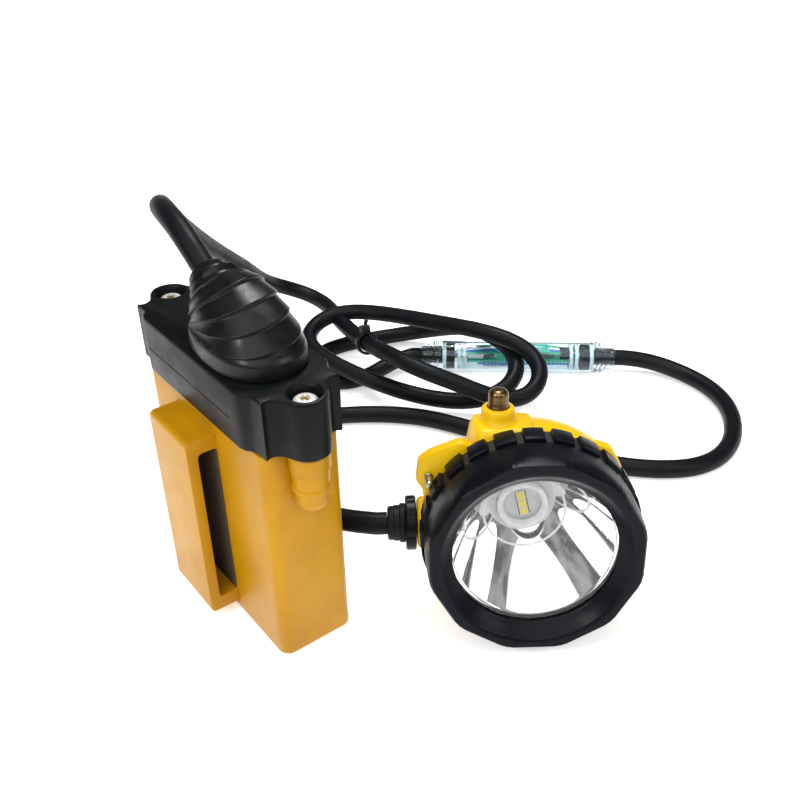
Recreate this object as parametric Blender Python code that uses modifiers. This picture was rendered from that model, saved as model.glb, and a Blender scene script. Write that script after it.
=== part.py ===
"""Miner's cap lamp: a belt battery pack, its rubber cable with an inline module, and the headpiece.

Metres, +Z up. The origin is the centre of the battery's base. X runs along the battery's width,
and the belt loop is on its -Y face. The headpiece stands beside the battery and has a frame of
its own: local +Z looks out along the beam, local +Y is up and local +X is to the beam's left.
"""

import math

import bmesh
import bpy
import numpy as np
from mathutils import Matrix, Vector

MM = 0.001
GAP = 0.3 * MM  # between pieces that touch

# Battery case
CASE_WIDTH = 90.6 * MM
CASE_DEPTH = 31.6 * MM
CASE_HEIGHT = 93.6 * MM
CASE_CORNER = 4.6 * MM
CASE_WALL = 2.8 * MM
BOSS_RADIUS = 7.4 * MM
BOSS_LENGTH = 23 * MM
BOSS_TAPER = 5 * MM

# Cover on top of the case
COVER_LOW = CASE_HEIGHT + GAP
COVER_TOP = 116.7 * MM
COVER_SKIN = 3 * MM
TIP = Vector((47.3 * MM, 15.2 * MM))  # the pointed corners, in plan
PAD_REACH = 18.4 * MM  # the swollen front and back flanks
PAD_HALF = 37 * MM
SCREW_X = 49.6 * MM
LOBE_RADIUS = 8.0 * MM
COUNTERBORE_RADIUS = 6.1 * MM
COUNTERBORE_DEPTH = 5.5 * MM
SCREW_HEAD_RADIUS = 4.7 * MM
SCREW_HEAD_HEIGHT = 3 * MM
SCREW_SOCKET_RADIUS = 1.5 * MM
SCREW_SHANK_RADIUS = 1.6 * MM
SCREW_LENGTH = 24 * MM
INSERT_RADIUS = 2.6 * MM
INSERT_LENGTH = 9 * MM
GASKET_HEIGHT = 1.8 * MM

# Belt loop on the -Y face
LOOP_LEFT, LOOP_RIGHT = -20 * MM, 10 * MM
LOOP_LOW, LOOP_HIGH = 4.5 * MM, 86.4 * MM
LOOP_OUT = -28 * MM
LOOP_WALL = 4.3 * MM
LOOP_LEG = 6.2 * MM

# Cells and what holds them
CELL_RADIUS = 9.1 * MM
CELL_LENGTH = 65 * MM
CELL_PITCH = 18.8 * MM
CELL_COUNT = 4
CELL_LOW = 9 * MM
LEAD_RADIUS = 0.9 * MM
LEAD_POINT_STEP = 5 * MM
HOLDER_HEIGHT = 8 * MM

# Strain relief boot on the cover
BOOT_X = 12.8 * MM
BOOT_STEM_RADIUS = 5.6 * MM
BOOT_MOUTH = Vector((-12.5, 0, 137.7)) * MM
BOOT_LEAN = math.radians(60)
CABLE_HOLE_RADIUS = 6 * MM

# Cable
CABLE_DIAMETER = 9 * MM
CABLE_POINT_STEP = 37 * MM
BEND_WEIGHT = 50 * MM  # the length of straight cable that counts as much as a bend of one radian
CABLE_END = 5 * MM  # the straight start and end of each
# The battery's half: out of the boot, over to the floor, two loops, and into the inline module.
BATTERY_SIDE_ROUTE = [
    (-31, 0, 148.4), (-48, 2.5, 149.6), (-70, 10, 144.2), (-94, 22, 132.6), (-118, 38, 114.6),
    (-148, 66, 86), (-172, 96, 58), (-186, 117, 38), (-190, 131, 28), (-182, 141.5, 22), (-165, 144, 20.5),
    (-147, 140.5, 21.5), (-127, 135, 24), (-103, 131, 26), (-73, 128, 31), (-55, 134, 28), (-41, 145, 23), (-30, 154, 18),
    (-21.5, 163, 15), (-17.5, 173, 15), (-17.5, 183, 18.5), (-25.5, 190, 25), (-41, 188.5, 30.5),
    (-61, 181, 33), (-88, 172, 31), (-113, 162, 29), (-131, 153, 27.5), (-143, 141, 26), (-146, 127, 23),
    (-137, 115, 20), (-120, 113, 17.5), (-95, 118, 14), (-70, 129, 11), (-53, 142, 8.5), (-40, 154, 9),
    (-33, 166, 12.5), (-32.5, 178, 18), (-43, 187, 23.5), (-62, 190, 26), (-84, 192, 23),
    (-105, 190, 15), (-124, 181, 7.5), (-136, 164, 4.7), (-142, 147, 4.6), (-143, 130, 4.6),
    (-136, 115, 4.6), (-122, 108.5, 4.6), (-108, 115, 4.7), (-102, 129, 5), (-103, 142, 6.5),
    (-102.5, 152, 8.4),
]
# The lamp's half: out of the module, round behind both, and up into the headpiece's gland.
LAMP_SIDE_ROUTE = [
    (-15.5, 258, 8.8), (-5, 266, 7), (9, 271, 5), (25, 270.5, 4.6), (42, 263.5, 4.6), (56, 251, 4.6),
    (66, 236, 4.6), (71, 220, 4.6), (69, 203, 4.6), (59, 188, 4.6), (46, 176, 4.6), (24, 163, 4.6),
    (-8, 148, 4.6), (-28, 139, 4.6), (-48, 129, 4.6), (-64, 115, 4.6), (-77, 98, 4.6), (-88, 77, 4.6),
    (-92, 56, 4.6), (-83, 36, 5.5), (-62, 26, 11), (-36, 23, 18.5), (-10, 21.9, 26.5), (7, 21.8, 31),
    (18, 22.6, 34), (27, 25.5, 36),
]

# Inline module, a clear tube on the cable
MODULE_RADIUS = 9 * MM
MODULE_FRONT = Vector((-60, 206.4, 9.2)) * MM
MODULE_AXIS = Vector((0.65, 0.76, 0)).normalized()
MODULE_HALF = 43 * MM
MODULE_WALL = 1.3 * MM
CAP_LENGTH = 12.2 * MM
GROMMET_RADIUS = 7.4 * MM
GROMMET_LENGTH = 6 * MM
MODULE_BOARD = Vector((11.5, 1.6, 58)) * MM

# Cable tie round the loops
TIE_POINT = Vector((-103, 131, 26)) * MM
TIE_DIRECTION = Vector((30, -8, 12)).normalized()
TIE_RADIUS = 6.2 * MM
TIE_THICKNESS = 0.9 * MM

# Headpiece: the place of its lip, and where the beam points
LIP_CENTRE = Vector((101, 61.2, 45)) * MM
BEAM_HEADING = math.radians(53.9)
BEAM_TILT = math.radians(6.8)
LIP_RADIUS = 39.2 * MM
RING_RADIUS = 42.2 * MM
RING_BACK = -25.8 * MM
LENS_RADIUS = 35 * MM
WINDOW_RADIUS = 30.8 * MM
WINDOW_FRONT = -5.2 * MM
LENS_FRONT = -6.6 * MM
LENS_THICKNESS = 2.6 * MM
REFLECTOR_BACK = -42 * MM
THROAT_RADIUS = 10.6 * MM
BOWL_SPANS = 8
LED_CHIP = (3.2 * MM, 3.2 * MM, 0.9 * MM)
LED_PITCH = 3.7 * MM
NECK_RADIUS = 38.1 * MM
PLATE_FRONT, PLATE_BACK = -26.4 * MM, -32 * MM
BUTTON_X, BUTTON_Z = -11.5 * MM, -35.4 * MM
COLLAR_TOP = 46.4 * MM  # from the beam's axis
SPRING_RADIUS = 3.55 * MM
SPRING_WIRE = 0.35 * MM
SPRING_LOW = 38.2 * MM
SPRING_LENGTH = 7.3 * MM
SPRING_TURNS, SPRING_POINTS = 4.5, 54
GLAND_Y, GLAND_Z = -4.2 * MM, -36 * MM
GLAND_END = -54.4 * MM
STUD_X, STUD_Y = -38.4 * MM, 22 * MM

for leftover in list(bpy.data.objects):
    bpy.data.objects.remove(leftover, do_unlink=True)


def new_collection(name):
    made = bpy.data.collections.new(name)
    bpy.context.scene.collection.children.link(made)
    return made


PARTS = new_collection("miners_cap_lamp")
CUTTERS = new_collection("cutters")


def new_material(name, colour, roughness, metallic=0.0):
    made = bpy.data.materials.new(name)
    made.use_nodes = True
    shader = made.node_tree.nodes["Principled BSDF"]
    shader.inputs["Base Color"].default_value = (*colour, 1)
    shader.inputs["Roughness"].default_value = roughness
    shader.inputs["Metallic"].default_value = metallic
    return made


YELLOW = new_material("case_yellow", (0.80, 0.42, 0.02), 0.35)
BLACK = new_material("cover_black", (0.02, 0.02, 0.022), 0.4)
RUBBER = new_material("black_rubber", (0.015, 0.015, 0.016), 0.6)
STEEL = new_material("bright_steel", (0.7, 0.7, 0.7), 0.25, 1.0)
BRASS = new_material("brass", (0.65, 0.45, 0.15), 0.3, 1.0)
BRONZE = new_material("button_bronze", (0.28, 0.18, 0.09), 0.35, 0.8)
ALUMINIUM = new_material("aluminium", (0.75, 0.76, 0.78), 0.35, 1.0)
MIRROR = new_material("reflector_mirror", (0.92, 0.93, 0.95), 0.03, 1.0)
CLEAR = new_material("clear_plastic", (0.85, 0.95, 0.95), 0.05)
BOARD = new_material("board_green", (0.02, 0.2, 0.12), 0.5)
WHITE = new_material("led_white", (0.9, 0.9, 0.88), 0.4)
PHOSPHOR = new_material("led_phosphor", (0.95, 0.75, 0.1), 0.4)
WRAP = new_material("cell_wrap", (0.1, 0.25, 0.6), 0.4)
FOAM = new_material("grey_foam", (0.2, 0.2, 0.2), 0.9)
RED = new_material("lead_red", (0.6, 0.02, 0.02), 0.5)


def add(name, mesh, material, at=None, parent=None):
    """A new object in the parts, placed by a matrix under its parent. No material makes it a helper."""
    made = bpy.data.objects.new(name, mesh)
    if material is None:
        CUTTERS.objects.link(made)
        made.hide_render = True
        made.display_type = "WIRE"
    else:
        PARTS.objects.link(made)
        mesh.materials.append(material)
    made.parent = parent
    made.matrix_local = at or Matrix()
    return made


def facing(origin, direction, up=(0, 0, 1)):
    """The matrix of a frame at origin whose Z points along direction."""
    z = Vector(direction).normalized()
    x = Vector(up).cross(z)
    if x.length < 1e-6:
        x = Vector((1, 0, 0))
    x.normalize()
    turned_axes = Matrix((x, z.cross(x), z)).transposed().to_4x4()
    return Matrix.Translation(origin) @ turned_axes


def mesh_from(name, bm):
    bmesh.ops.recalc_face_normals(bm, faces=bm.faces)
    mesh = bpy.data.meshes.new(name)
    bm.to_mesh(mesh)
    bm.free()
    return mesh


def box(name, size, centre, material, at=None, parent=None, bevel=0.0):
    bm = bmesh.new()
    bmesh.ops.create_cube(bm, size=1)
    bmesh.ops.scale(bm, vec=Vector(size), verts=bm.verts)
    bmesh.ops.translate(bm, vec=Vector(centre), verts=bm.verts)
    made = add(name, mesh_from(name, bm), material, at, parent)
    if bevel:
        round_edges(made, bevel)
    return made


def cylinder(name, radius, low, high, material, at=None, parent=None, segments=32, top_radius=None):
    """A cylinder or cone from low to high along the Z of its matrix."""
    bm = bmesh.new()
    end = radius if top_radius is None else top_radius
    bmesh.ops.create_cone(bm, cap_ends=True, segments=segments, radius1=radius, radius2=end, depth=high - low)
    bmesh.ops.translate(bm, vec=(0, 0, (low + high) / 2), verts=bm.verts)
    made = add(name, mesh_from(name, bm), material, at, parent)
    shade(made)
    return made


def shade(made, degrees=35):
    made.data.shade_smooth()
    made.data.set_sharp_from_angle(angle=math.radians(degrees))


def round_edges(made, width, segments=2, degrees=40):
    bevel = made.modifiers.new("round_edges", "BEVEL")
    bevel.width = width
    bevel.segments = segments
    bevel.limit_method = "ANGLE"
    bevel.angle_limit = math.radians(degrees)


def combine(made, other, operation):
    boolean = made.modifiers.new(other.name, "BOOLEAN")
    boolean.operation = operation
    boolean.object = other


def turned(name, profile, material, at=None, parent=None, steps=48):
    """A profile of (radius, height) turned about Z. A profile that meets the axis closes there."""
    closed = min(radius for radius, _ in profile) > 0
    ring = profile if closed else [*profile, (0, profile[-1][1]), (0, profile[0][1])]
    area = sum(a[0] * b[1] - b[0] * a[1] for a, b in zip(ring, ring[1:] + ring[:1]))
    points = profile if area < 0 else profile[::-1]
    bm = bmesh.new()
    verts = [bm.verts.new((radius, 0, height)) for radius, height in points]
    for a, b in zip(verts, verts[1:]):
        bm.edges.new((a, b))
    if closed:
        bm.edges.new((verts[-1], verts[0]))
    mesh = bpy.data.meshes.new(name)
    bm.to_mesh(mesh)
    bm.free()
    made = add(name, mesh, material, at, parent)
    screw = made.modifiers.new("turn", "SCREW")
    screw.steps = screw.render_steps = steps
    screw.use_merge_vertices = True
    screw.merge_threshold = 0.00001
    screw.use_smooth_shade = False
    return made


def prism(name, outlines, low, high, material, at=None, parent=None):
    """Outlines in plan, the first the outer one and the others holes, raised from low to high."""
    bm = bmesh.new()
    for outline in outlines:
        verts = [bm.verts.new((x, y, low)) for x, y in outline]
        for a, b in zip(verts, verts[1:] + verts[:1]):
            bm.edges.new((a, b))
    bmesh.ops.triangle_fill(bm, use_beauty=True, edges=bm.edges[:])
    raised = bmesh.ops.extrude_face_region(bm, geom=bm.faces[:])
    tops = [item for item in raised["geom"] if isinstance(item, bmesh.types.BMVert)]
    bmesh.ops.translate(bm, vec=(0, 0, high - low), verts=tops)
    return add(name, mesh_from(name, bm), material, at, parent)


def arc(centre, radius, start, end, count):
    """Points on an arc, with both ends; the angles are in degrees."""
    steps = [math.radians(start + (end - start) * i / count) for i in range(count + 1)]
    return [(centre[0] + radius * math.cos(a), centre[1] + radius * math.sin(a)) for a in steps]


def circle(centre, radius, count=32):
    return arc(centre, radius, 0, 360, count)[:-1]


def rounded_rectangle(width, depth, radius, count=5):
    x, y = width / 2 - radius, depth / 2 - radius
    corners = [((x, y), 0), ((-x, y), 90), ((-x, -y), 180), ((x, -y), 270)]
    return [point for centre, start in corners for point in arc(centre, radius, start, start + 90, count)]


def smooth_line(points, step, per_span=16):
    """A centripetal Catmull-Rom curve through the points, read again in steps that shorten in a bend."""
    knots = [Vector(p) for p in points]
    knots = [2 * knots[0] - knots[1], *knots, 2 * knots[-1] - knots[-2]]
    fine = []
    for a, b, c, d in zip(knots, knots[1:], knots[2:], knots[3:]):
        t1 = (b - a).length ** 0.5
        t2 = t1 + (c - b).length ** 0.5
        t3 = t2 + (d - c).length ** 0.5
        for i in range(per_span):
            t = t1 + (t2 - t1) * i / per_span
            ab = a.lerp(b, t / t1)
            bc = b.lerp(c, (t - t1) / (t2 - t1))
            cd = c.lerp(d, (t - t2) / (t3 - t2))
            abc = ab.lerp(bc, t / t2)
            bcd = bc.lerp(cd, (t - t1) / (t3 - t1))
            fine.append(abc.lerp(bcd, (t - t1) / (t2 - t1)))
    fine.append(knots[-2])
    line = np.array([tuple(p) for p in fine])
    chord = np.diff(line, axis=0)
    length = np.linalg.norm(chord, axis=1)
    heading = chord / length[:, None]
    turn = np.arccos(np.clip((heading[1:] * heading[:-1]).sum(axis=1), -1, 1))
    along = np.concatenate([[0], np.cumsum(length + BEND_WEIGHT * np.append(turn, 0))])
    at = np.linspace(0, along[-1], max(2, round(along[-1] / step) + 1))
    return [Vector([np.interp(s, along, line[:, k]) for k in range(3)]) for s in at]


def tube(name, points, radius, material, parent=None, resolution=2):
    curve = bpy.data.curves.new(name, "CURVE")
    curve.dimensions = "3D"
    curve.bevel_depth = radius
    curve.bevel_resolution = resolution
    curve.use_fill_caps = True
    spline = curve.splines.new("POLY")
    spline.points.add(len(points) - 1)
    for place, point in zip(spline.points, points):
        place.co = (*point, 1)
    return add(name, curve, material, parent=parent)


def loft(name, rings, material):
    """A closed skin over rings of equally many points, with a flat cap at each end."""
    bm = bmesh.new()
    rows = [[bm.verts.new(point) for point in ring] for ring in rings]
    for low, high in zip(rows, rows[1:]):
        for i in range(len(low)):
            j = (i + 1) % len(low)
            bm.faces.new((low[i], low[j], high[j], high[i]))
    bm.faces.new(rows[0][::-1])
    bm.faces.new(rows[-1])
    return add(name, mesh_from(name, bm), material)


# Battery pack


def cover_outline(inset=0.0):
    """The cover in plan: pointed corners, a scallop and a lobe at each end, swollen flanks."""
    quarter = [(0, PAD_REACH - inset), (PAD_HALF - 3 * MM, PAD_REACH - inset)]
    quarter += [(PAD_HALF + 3 * MM, TIP.y + 0.8 * MM - inset), (TIP.x - inset, TIP.y - inset)]
    scallop = [(46.4, 12.6), (47.2, 10.6), (49.3, 8.9)]
    quarter += [(x * MM - inset, y * MM) for x, y in scallop]
    quarter += arc((SCREW_X, 0), LOBE_RADIUS - inset, 72, 0, 6)
    right = quarter + [(x, -y) for x, y in quarter[-2::-1]]
    return right + [(-x, y) for x, y in right[-2:0:-1]]


def battery_case():
    outline = rounded_rectangle(CASE_WIDTH, CASE_DEPTH, CASE_CORNER)
    case = prism("battery_case", [outline], 0, CASE_HEIGHT, YELLOW)
    round_edges(case, 1.5 * MM, degrees=60)
    width, depth = CASE_WIDTH - 2 * CASE_WALL, CASE_DEPTH - 2 * CASE_WALL
    hollow = rounded_rectangle(width, depth, CASE_CORNER - CASE_WALL)
    room = prism("case_room", [hollow], CASE_WALL, CASE_HEIGHT + 5 * MM, None)
    for side in (-1, 1):
        name = "left" if side < 0 else "right"
        at = Matrix.Translation((side * (SCREW_X - 0.6 * MM), 0, 0))
        low = CASE_HEIGHT - BOSS_LENGTH
        top = CASE_HEIGHT - 0.01 * MM
        tip = BOSS_RADIUS - 4 * MM
        shape = [(0, low), (tip, low), (BOSS_RADIUS, low + BOSS_TAPER), (BOSS_RADIUS, top), (0, top)]
        combine(case, turned(f"boss_{name}", shape, None, at, steps=28), "UNION")
        hole = cylinder(
            f"insert_hole_{name}",
            INSERT_RADIUS + GAP,
            CASE_HEIGHT - INSERT_LENGTH - 3 * MM,
            CASE_HEIGHT + 1 * MM,
            None,
            Matrix.Translation((side * SCREW_X, 0, 0)),
            segments=20,
        )
        combine(case, hole, "DIFFERENCE")
    combine(case, room, "DIFFERENCE")


def belt_loop():
    """A strap bridge whose two legs meet the case; the belt runs through it along X."""
    near = -CASE_DEPTH / 2 - GAP
    wall = LOOP_OUT + LOOP_WALL
    profile = [
        (near, LOOP_LOW), (LOOP_OUT, LOOP_LOW), (LOOP_OUT, LOOP_HIGH), (near, LOOP_HIGH),
        (near, LOOP_HIGH - LOOP_LEG), (wall, LOOP_HIGH - LOOP_LEG),
        (wall, LOOP_LOW + LOOP_LEG), (near, LOOP_LOW + LOOP_LEG),
    ]
    # The profile's plane is Y and Z, and it is raised along X.
    along_x = Matrix(((0, 0, 1, 0), (1, 0, 0, 0), (0, 1, 0, 0), (0, 0, 0, 1)))
    prism("belt_loop", [profile], LOOP_LEFT, LOOP_RIGHT, YELLOW, along_x)


def cover():
    made = prism("battery_cover", [cover_outline()], COVER_LOW, COVER_TOP, BLACK)
    round_edges(made, 0.8 * MM, segments=1, degrees=60)
    groove = rounded_rectangle(88 * MM, 29.6 * MM, 5 * MM)
    cut = prism("gasket_groove", [groove], COVER_LOW - 1 * MM, COVER_LOW + GASKET_HEIGHT + GAP, None)
    combine(made, cut, "DIFFERENCE")
    inside = rounded_rectangle(80 * MM, 25 * MM, 4 * MM)
    room = prism("cover_room", [inside], COVER_LOW - 1 * MM, COVER_TOP - COVER_SKIN, None)
    combine(made, room, "DIFFERENCE")
    at = Matrix.Translation((BOOT_X, 0, 0))
    hole = cylinder("cable_hole", CABLE_HOLE_RADIUS, COVER_LOW, COVER_TOP + 1 * MM, None, at)
    combine(made, hole, "DIFFERENCE")
    for side in (-1, 1):
        at = Matrix.Translation((side * SCREW_X, 0, 0))
        bottom = COVER_TOP - COUNTERBORE_DEPTH
        through = SCREW_SHANK_RADIUS + GAP
        low, high = COVER_LOW - 1 * MM, COVER_TOP + 1 * MM
        profile = [(0, low), (through, low), (through, bottom)]
        profile += [(COUNTERBORE_RADIUS, bottom), (COUNTERBORE_RADIUS, high), (0, high)]
        bore = turned(f"screw_bore_{side}", profile, None, at, steps=28)
        combine(made, bore, "DIFFERENCE")


def cover_gasket():
    outer = rounded_rectangle(87.4 * MM, 29 * MM, 4.7 * MM)
    inner = rounded_rectangle(83.6 * MM, 25.2 * MM, 2.8 * MM)
    prism("cover_gasket", [outer, inner], COVER_LOW, COVER_LOW + GASKET_HEIGHT, RUBBER)


def cover_screws():
    for side, name in ((-1, "left"), (1, "right")):
        at = Matrix.Translation((side * SCREW_X, 0, 0))
        base = COVER_TOP - COUNTERBORE_DEPTH + GAP
        top = base + SCREW_HEAD_HEIGHT
        tip = base - SCREW_LENGTH
        socket, chamfer = 1.6 * MM, 0.7 * MM
        profile = [
            (0, top - socket), (SCREW_SOCKET_RADIUS, top - socket), (SCREW_SOCKET_RADIUS, top),
            (SCREW_HEAD_RADIUS - chamfer, top), (SCREW_HEAD_RADIUS, top - chamfer), (SCREW_HEAD_RADIUS, base),
            (SCREW_SHANK_RADIUS, base), (SCREW_SHANK_RADIUS, tip), (0, tip),
        ]
        turned(f"cover_screw_{name}", profile, STEEL, at, steps=24)
        low = CASE_HEIGHT - INSERT_LENGTH
        inner = SCREW_SHANK_RADIUS + GAP
        high = CASE_HEIGHT - 0.5 * MM
        ring = [(INSERT_RADIUS, high), (INSERT_RADIUS, low), (inner, low), (inner, high)]
        turned(f"threaded_insert_{name}", ring, BRASS, at, steps=20)


def cell_xs():
    return [(i - (CELL_COUNT - 1) / 2) * CELL_PITCH for i in range(CELL_COUNT)]


def cells():
    top = CELL_LOW + CELL_LENGTH
    for number, x in enumerate(cell_xs(), 1):
        at = Matrix.Translation((x, 0, 0))
        cylinder(f"cell_{number}", CELL_RADIUS, CELL_LOW, top, WRAP, at, segments=20)
    holes = [circle((x, 0), CELL_RADIUS + 0.1 * MM, 20) for x in cell_xs()]
    outline = rounded_rectangle(79 * MM, 21.5 * MM, 3 * MM, 3)
    lows = {"cell_holder_bottom": CELL_LOW + 3 * MM, "cell_holder_top": top - HOLDER_HEIGHT - 3 * MM}
    for name, low in lows.items():
        prism(name, [outline, *holes], low, low + HOLDER_HEIGHT, BLACK)
    strip = (72 * MM, 8 * MM, 0.4 * MM)
    box("busbar_bottom", strip, (0, 0, CELL_LOW - 0.5 * MM), STEEL)
    box("busbar_top", strip, (0, 0, top + 0.5 * MM), STEEL)
    box("cell_pad", (76 * MM, 20 * MM, 4.6 * MM), (0, 0, 5.6 * MM), FOAM)
    box("protection_board", (62 * MM, 21 * MM, 1.6 * MM), (0, 0, 80 * MM), BOARD)
    for name, y, material in (("lead_red", 2.2, RED), ("lead_black", -2.2, RUBBER)):
        route = [(-8, 81.2), (-7, 88), (2, 95), (11, 101), (12.8, 108), (12.8, 110.6)]
        line = smooth_line([Vector((x, y, z)) * MM for x, z in route], LEAD_POINT_STEP)
        tube(name, line, LEAD_RADIUS, material)


def superellipse(centre, tilt, half_x, half_y, power=2.4, count=28):
    """A ring of points in a plane that starts level and is tilted towards -X."""
    flat = Vector((math.cos(tilt), 0, math.sin(tilt)))
    ring = []
    for i in range(count):
        a = 2 * math.pi * i / count
        u = half_x * math.copysign(abs(math.cos(a)) ** (2 / power), math.cos(a))
        v = half_y * math.copysign(abs(math.sin(a)) ** (2 / power), math.sin(a))
        ring.append(Vector(centre) + flat * u + Vector((0, v, 0)))
    return ring


def strain_relief_boot():
    """An oval foot, a domed shoulder that leans to -X, and a collar that the cable comes out of."""
    # Each section's centre in X and Z, its tilt in degrees, its half sizes and how square it is
    shapes = [
        (12.8, 117, 0, 25.9, 16.8, 2.5),
        (12.8, 123.6, 0, 25.6, 16.6, 2.5),
        (11.7, 125.6, 3, 23.6, 15.8, 2.4),
        (8.8, 128.4, 14, 20.4, 15.2, 2.3),
        (5.2, 130.8, 30, 17.3, 14.8, 2.2),
        (1.2, 132.1, 45, 14.7, 14.2, 2),
        (-1.9, 132.6, 55, 12.6, 12.8, 2),
        (-3.4, 132.8, 60, 9.6, 9.6, 2),
        (-8.0, 135.2, 60, 9.0, 9.0, 2),
        (-8.5, 135.4, 60, 7.4, 7.4, 2),
        (BOOT_MOUTH.x / MM, BOOT_MOUTH.z / MM, 60, 7.0, 7.0, 2),
    ]
    rings = [
        superellipse((x * MM, 0, z * MM), math.radians(tilt), half_x * MM, half_y * MM, power)
        for x, z, tilt, half_x, half_y, power in shapes
    ]
    boot = loft("strain_relief_boot", rings, RUBBER)
    at = Matrix.Translation((BOOT_X, 0, 0))
    low, high = COVER_TOP - COVER_SKIN - 1 * MM, COVER_TOP + 2 * MM
    stem = cylinder("boot_stem", BOOT_STEM_RADIUS, low, high, None, at)
    combine(boot, stem, "UNION")


# Cable and inline module


def on_route(places):
    return [Vector(place) * MM for place in places]


def cables():
    """Each cable ends square to what it meets, so its first and last few millimetres are straight."""
    reach = MODULE_HALF + CAP_LENGTH + 2 * GAP
    leaving = Vector((-math.sin(BOOT_LEAN), 0, math.cos(BOOT_LEAN)))
    start = BOOT_MOUTH + leaving * GAP
    end = MODULE_FRONT - MODULE_AXIS * reach
    route = [start + leaving * CABLE_END, *on_route(BATTERY_SIDE_ROUTE), end - MODULE_AXIS * CABLE_END]
    line = [start, *smooth_line(route, CABLE_POINT_STEP), end]
    tube("cable_battery_side", line, CABLE_DIAMETER / 2, RUBBER)
    start = MODULE_FRONT + MODULE_AXIS * reach
    end = HEAD_FRAME @ Vector((GLAND_END - GAP, GLAND_Y, GLAND_Z))
    into = HEAD_FRAME.to_3x3() @ Vector((1, 0, 0))
    route = [start + MODULE_AXIS * CABLE_END, *on_route(LAMP_SIDE_ROUTE), end - into * CABLE_END]
    line = [start, *smooth_line(route, CABLE_POINT_STEP), end]
    tube("cable_lamp_side", line, CABLE_DIAMETER / 2, RUBBER)


def inline_module():
    at = facing(MODULE_FRONT, MODULE_AXIS)
    inner = MODULE_RADIUS - MODULE_WALL
    half = MODULE_HALF
    wall = [(MODULE_RADIUS, half), (MODULE_RADIUS, -half), (inner, -half), (inner, half)]
    turned("module_tube", wall, CLEAR, at, steps=32)
    for side, name in ((-1, "left"), (1, "right")):
        base = MODULE_HALF + GAP
        end = base + CAP_LENGTH
        shape = [(0, base), (MODULE_RADIUS, base), (MODULE_RADIUS, base + 3 * MM), (7 * MM, base + 5 * MM)]
        shape += [(6.6 * MM, base + 9 * MM), (5.4 * MM, end), (0, end)]
        turned(f"module_cap_{name}", [(r, side * z) for r, z in shape], CLEAR, at, steps=28)
        low, high = sorted((side * (MODULE_HALF - 1 * MM), side * (MODULE_HALF - 1 * MM - GROMMET_LENGTH)))
        cylinder(f"module_grommet_{name}", GROMMET_RADIUS, low, high, RUBBER, at, segments=24)
    box("module_board", MODULE_BOARD, (0, 0, 0), BOARD, at)
    chip = (5 * MM, 2.2 * MM, 8 * MM)
    rise = MODULE_BOARD.y / 2 + chip[1] / 2 + GAP
    for number, z in enumerate((-17 * MM, 0, 17 * MM), 1):
        box(f"module_chip_{number}", chip, (0, rise, z), BLACK, at)


def cable_tie():
    ring = facing(TIE_POINT, TIE_DIRECTION)
    made = turned("cable_tie", circle((TIE_RADIUS, 0), TIE_THICKNESS, 8), BLACK, ring, steps=24)
    head = box("tie_head", (4.4 * MM, 4 * MM, 4.6 * MM), (0, TIE_RADIUS + 1.6 * MM, 0), None, ring)
    combine(made, head, "UNION")


# Headpiece

beam = Vector((
    math.sin(BEAM_HEADING) * math.cos(BEAM_TILT),
    -math.cos(BEAM_HEADING) * math.cos(BEAM_TILT),
    math.sin(BEAM_TILT),
))
HEAD_FRAME = facing(LIP_CENTRE, beam)
HEAD = bpy.data.objects.new("headpiece_frame", None)
PARTS.objects.link(HEAD)
HEAD.matrix_world = HEAD_FRAME
BUTTON_FRAME = facing((BUTTON_X, 0, BUTTON_Z), (0, 1, 0))
GLAND_FRAME = facing((0, GLAND_Y, GLAND_Z), (-1, 0, 0), (0, 1, 0))


def lamp_housing():
    outside = [
        (0, -58.8), (10, -58.4), (20, -56.5), (29, -52.5), (35, -47), (38.6, -41), (40.2, -35), (40, -30),
        (38.1, -29), (38.1, -13.6),
    ]
    inside = [
        (35.6, -13.6), (35.6, -30), (36.4, -35), (35.8, -40), (32.4, -45), (26.8, -50), (18.5, -53.6),
        (10, -55.6), (0, -56),
    ]
    shell = [(r * MM, z * MM) for r, z in outside + inside]
    housing = turned("lamp_housing", shell, YELLOW, parent=HEAD, steps=56)
    plate = [
        (-23, 32.6), (-26.4, 35.8), (-37.4, 31.4), (-41.8, 28.4), (-42.8, 20.4), (-40.4, 16.6), (-39.4, 4),
        (-38, -9), (-33, -20), (-22, -31), (0, -38), (22, -31), (33, -20), (38, -8), (39.4, 6), (37.5, 17),
        (33.2, 26.5), (30, 31.6), (22.4, 33.8), (0, 39),
    ]
    outline = [(x * MM, y * MM) for x, y in plate]
    opening = circle((0, 0), 37 * MM, 40)
    flange = prism("mounting_plate", [outline, opening], PLATE_BACK, PLATE_FRONT, None, parent=HEAD)
    combine(housing, flange, "UNION")
    low, high = 33.5 * MM, COLLAR_TOP
    collar = cylinder("button_collar", 8.4 * MM, low, high, None, BUTTON_FRAME, HEAD, top_radius=5.7 * MM)
    combine(housing, collar, "UNION")
    boss = cylinder("gland_boss", 10 * MM, 34 * MM, 42.7 * MM, None, GLAND_FRAME, HEAD)
    combine(housing, boss, "UNION")
    well = [(0, 30), (3.1, 30), (3.1, 37.4), (4.5, 37.4), (4.5, 49), (0, 49)]
    bore = turned("button_well", [(r * MM, z * MM) for r, z in well], None, BUTTON_FRAME, HEAD, 28)
    combine(housing, bore, "DIFFERENCE")
    wire_way = cylinder("wire_way", 5 * MM, 28 * MM, 50 * MM, None, GLAND_FRAME, HEAD, 24)
    combine(housing, wire_way, "DIFFERENCE")
    at = Matrix.Translation((STUD_X, STUD_Y, 0))
    stud_hole = cylinder("stud_hole", 1.2 * MM, -34 * MM, -20 * MM, None, at, HEAD, 16)
    combine(housing, stud_hole, "DIFFERENCE")


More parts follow.
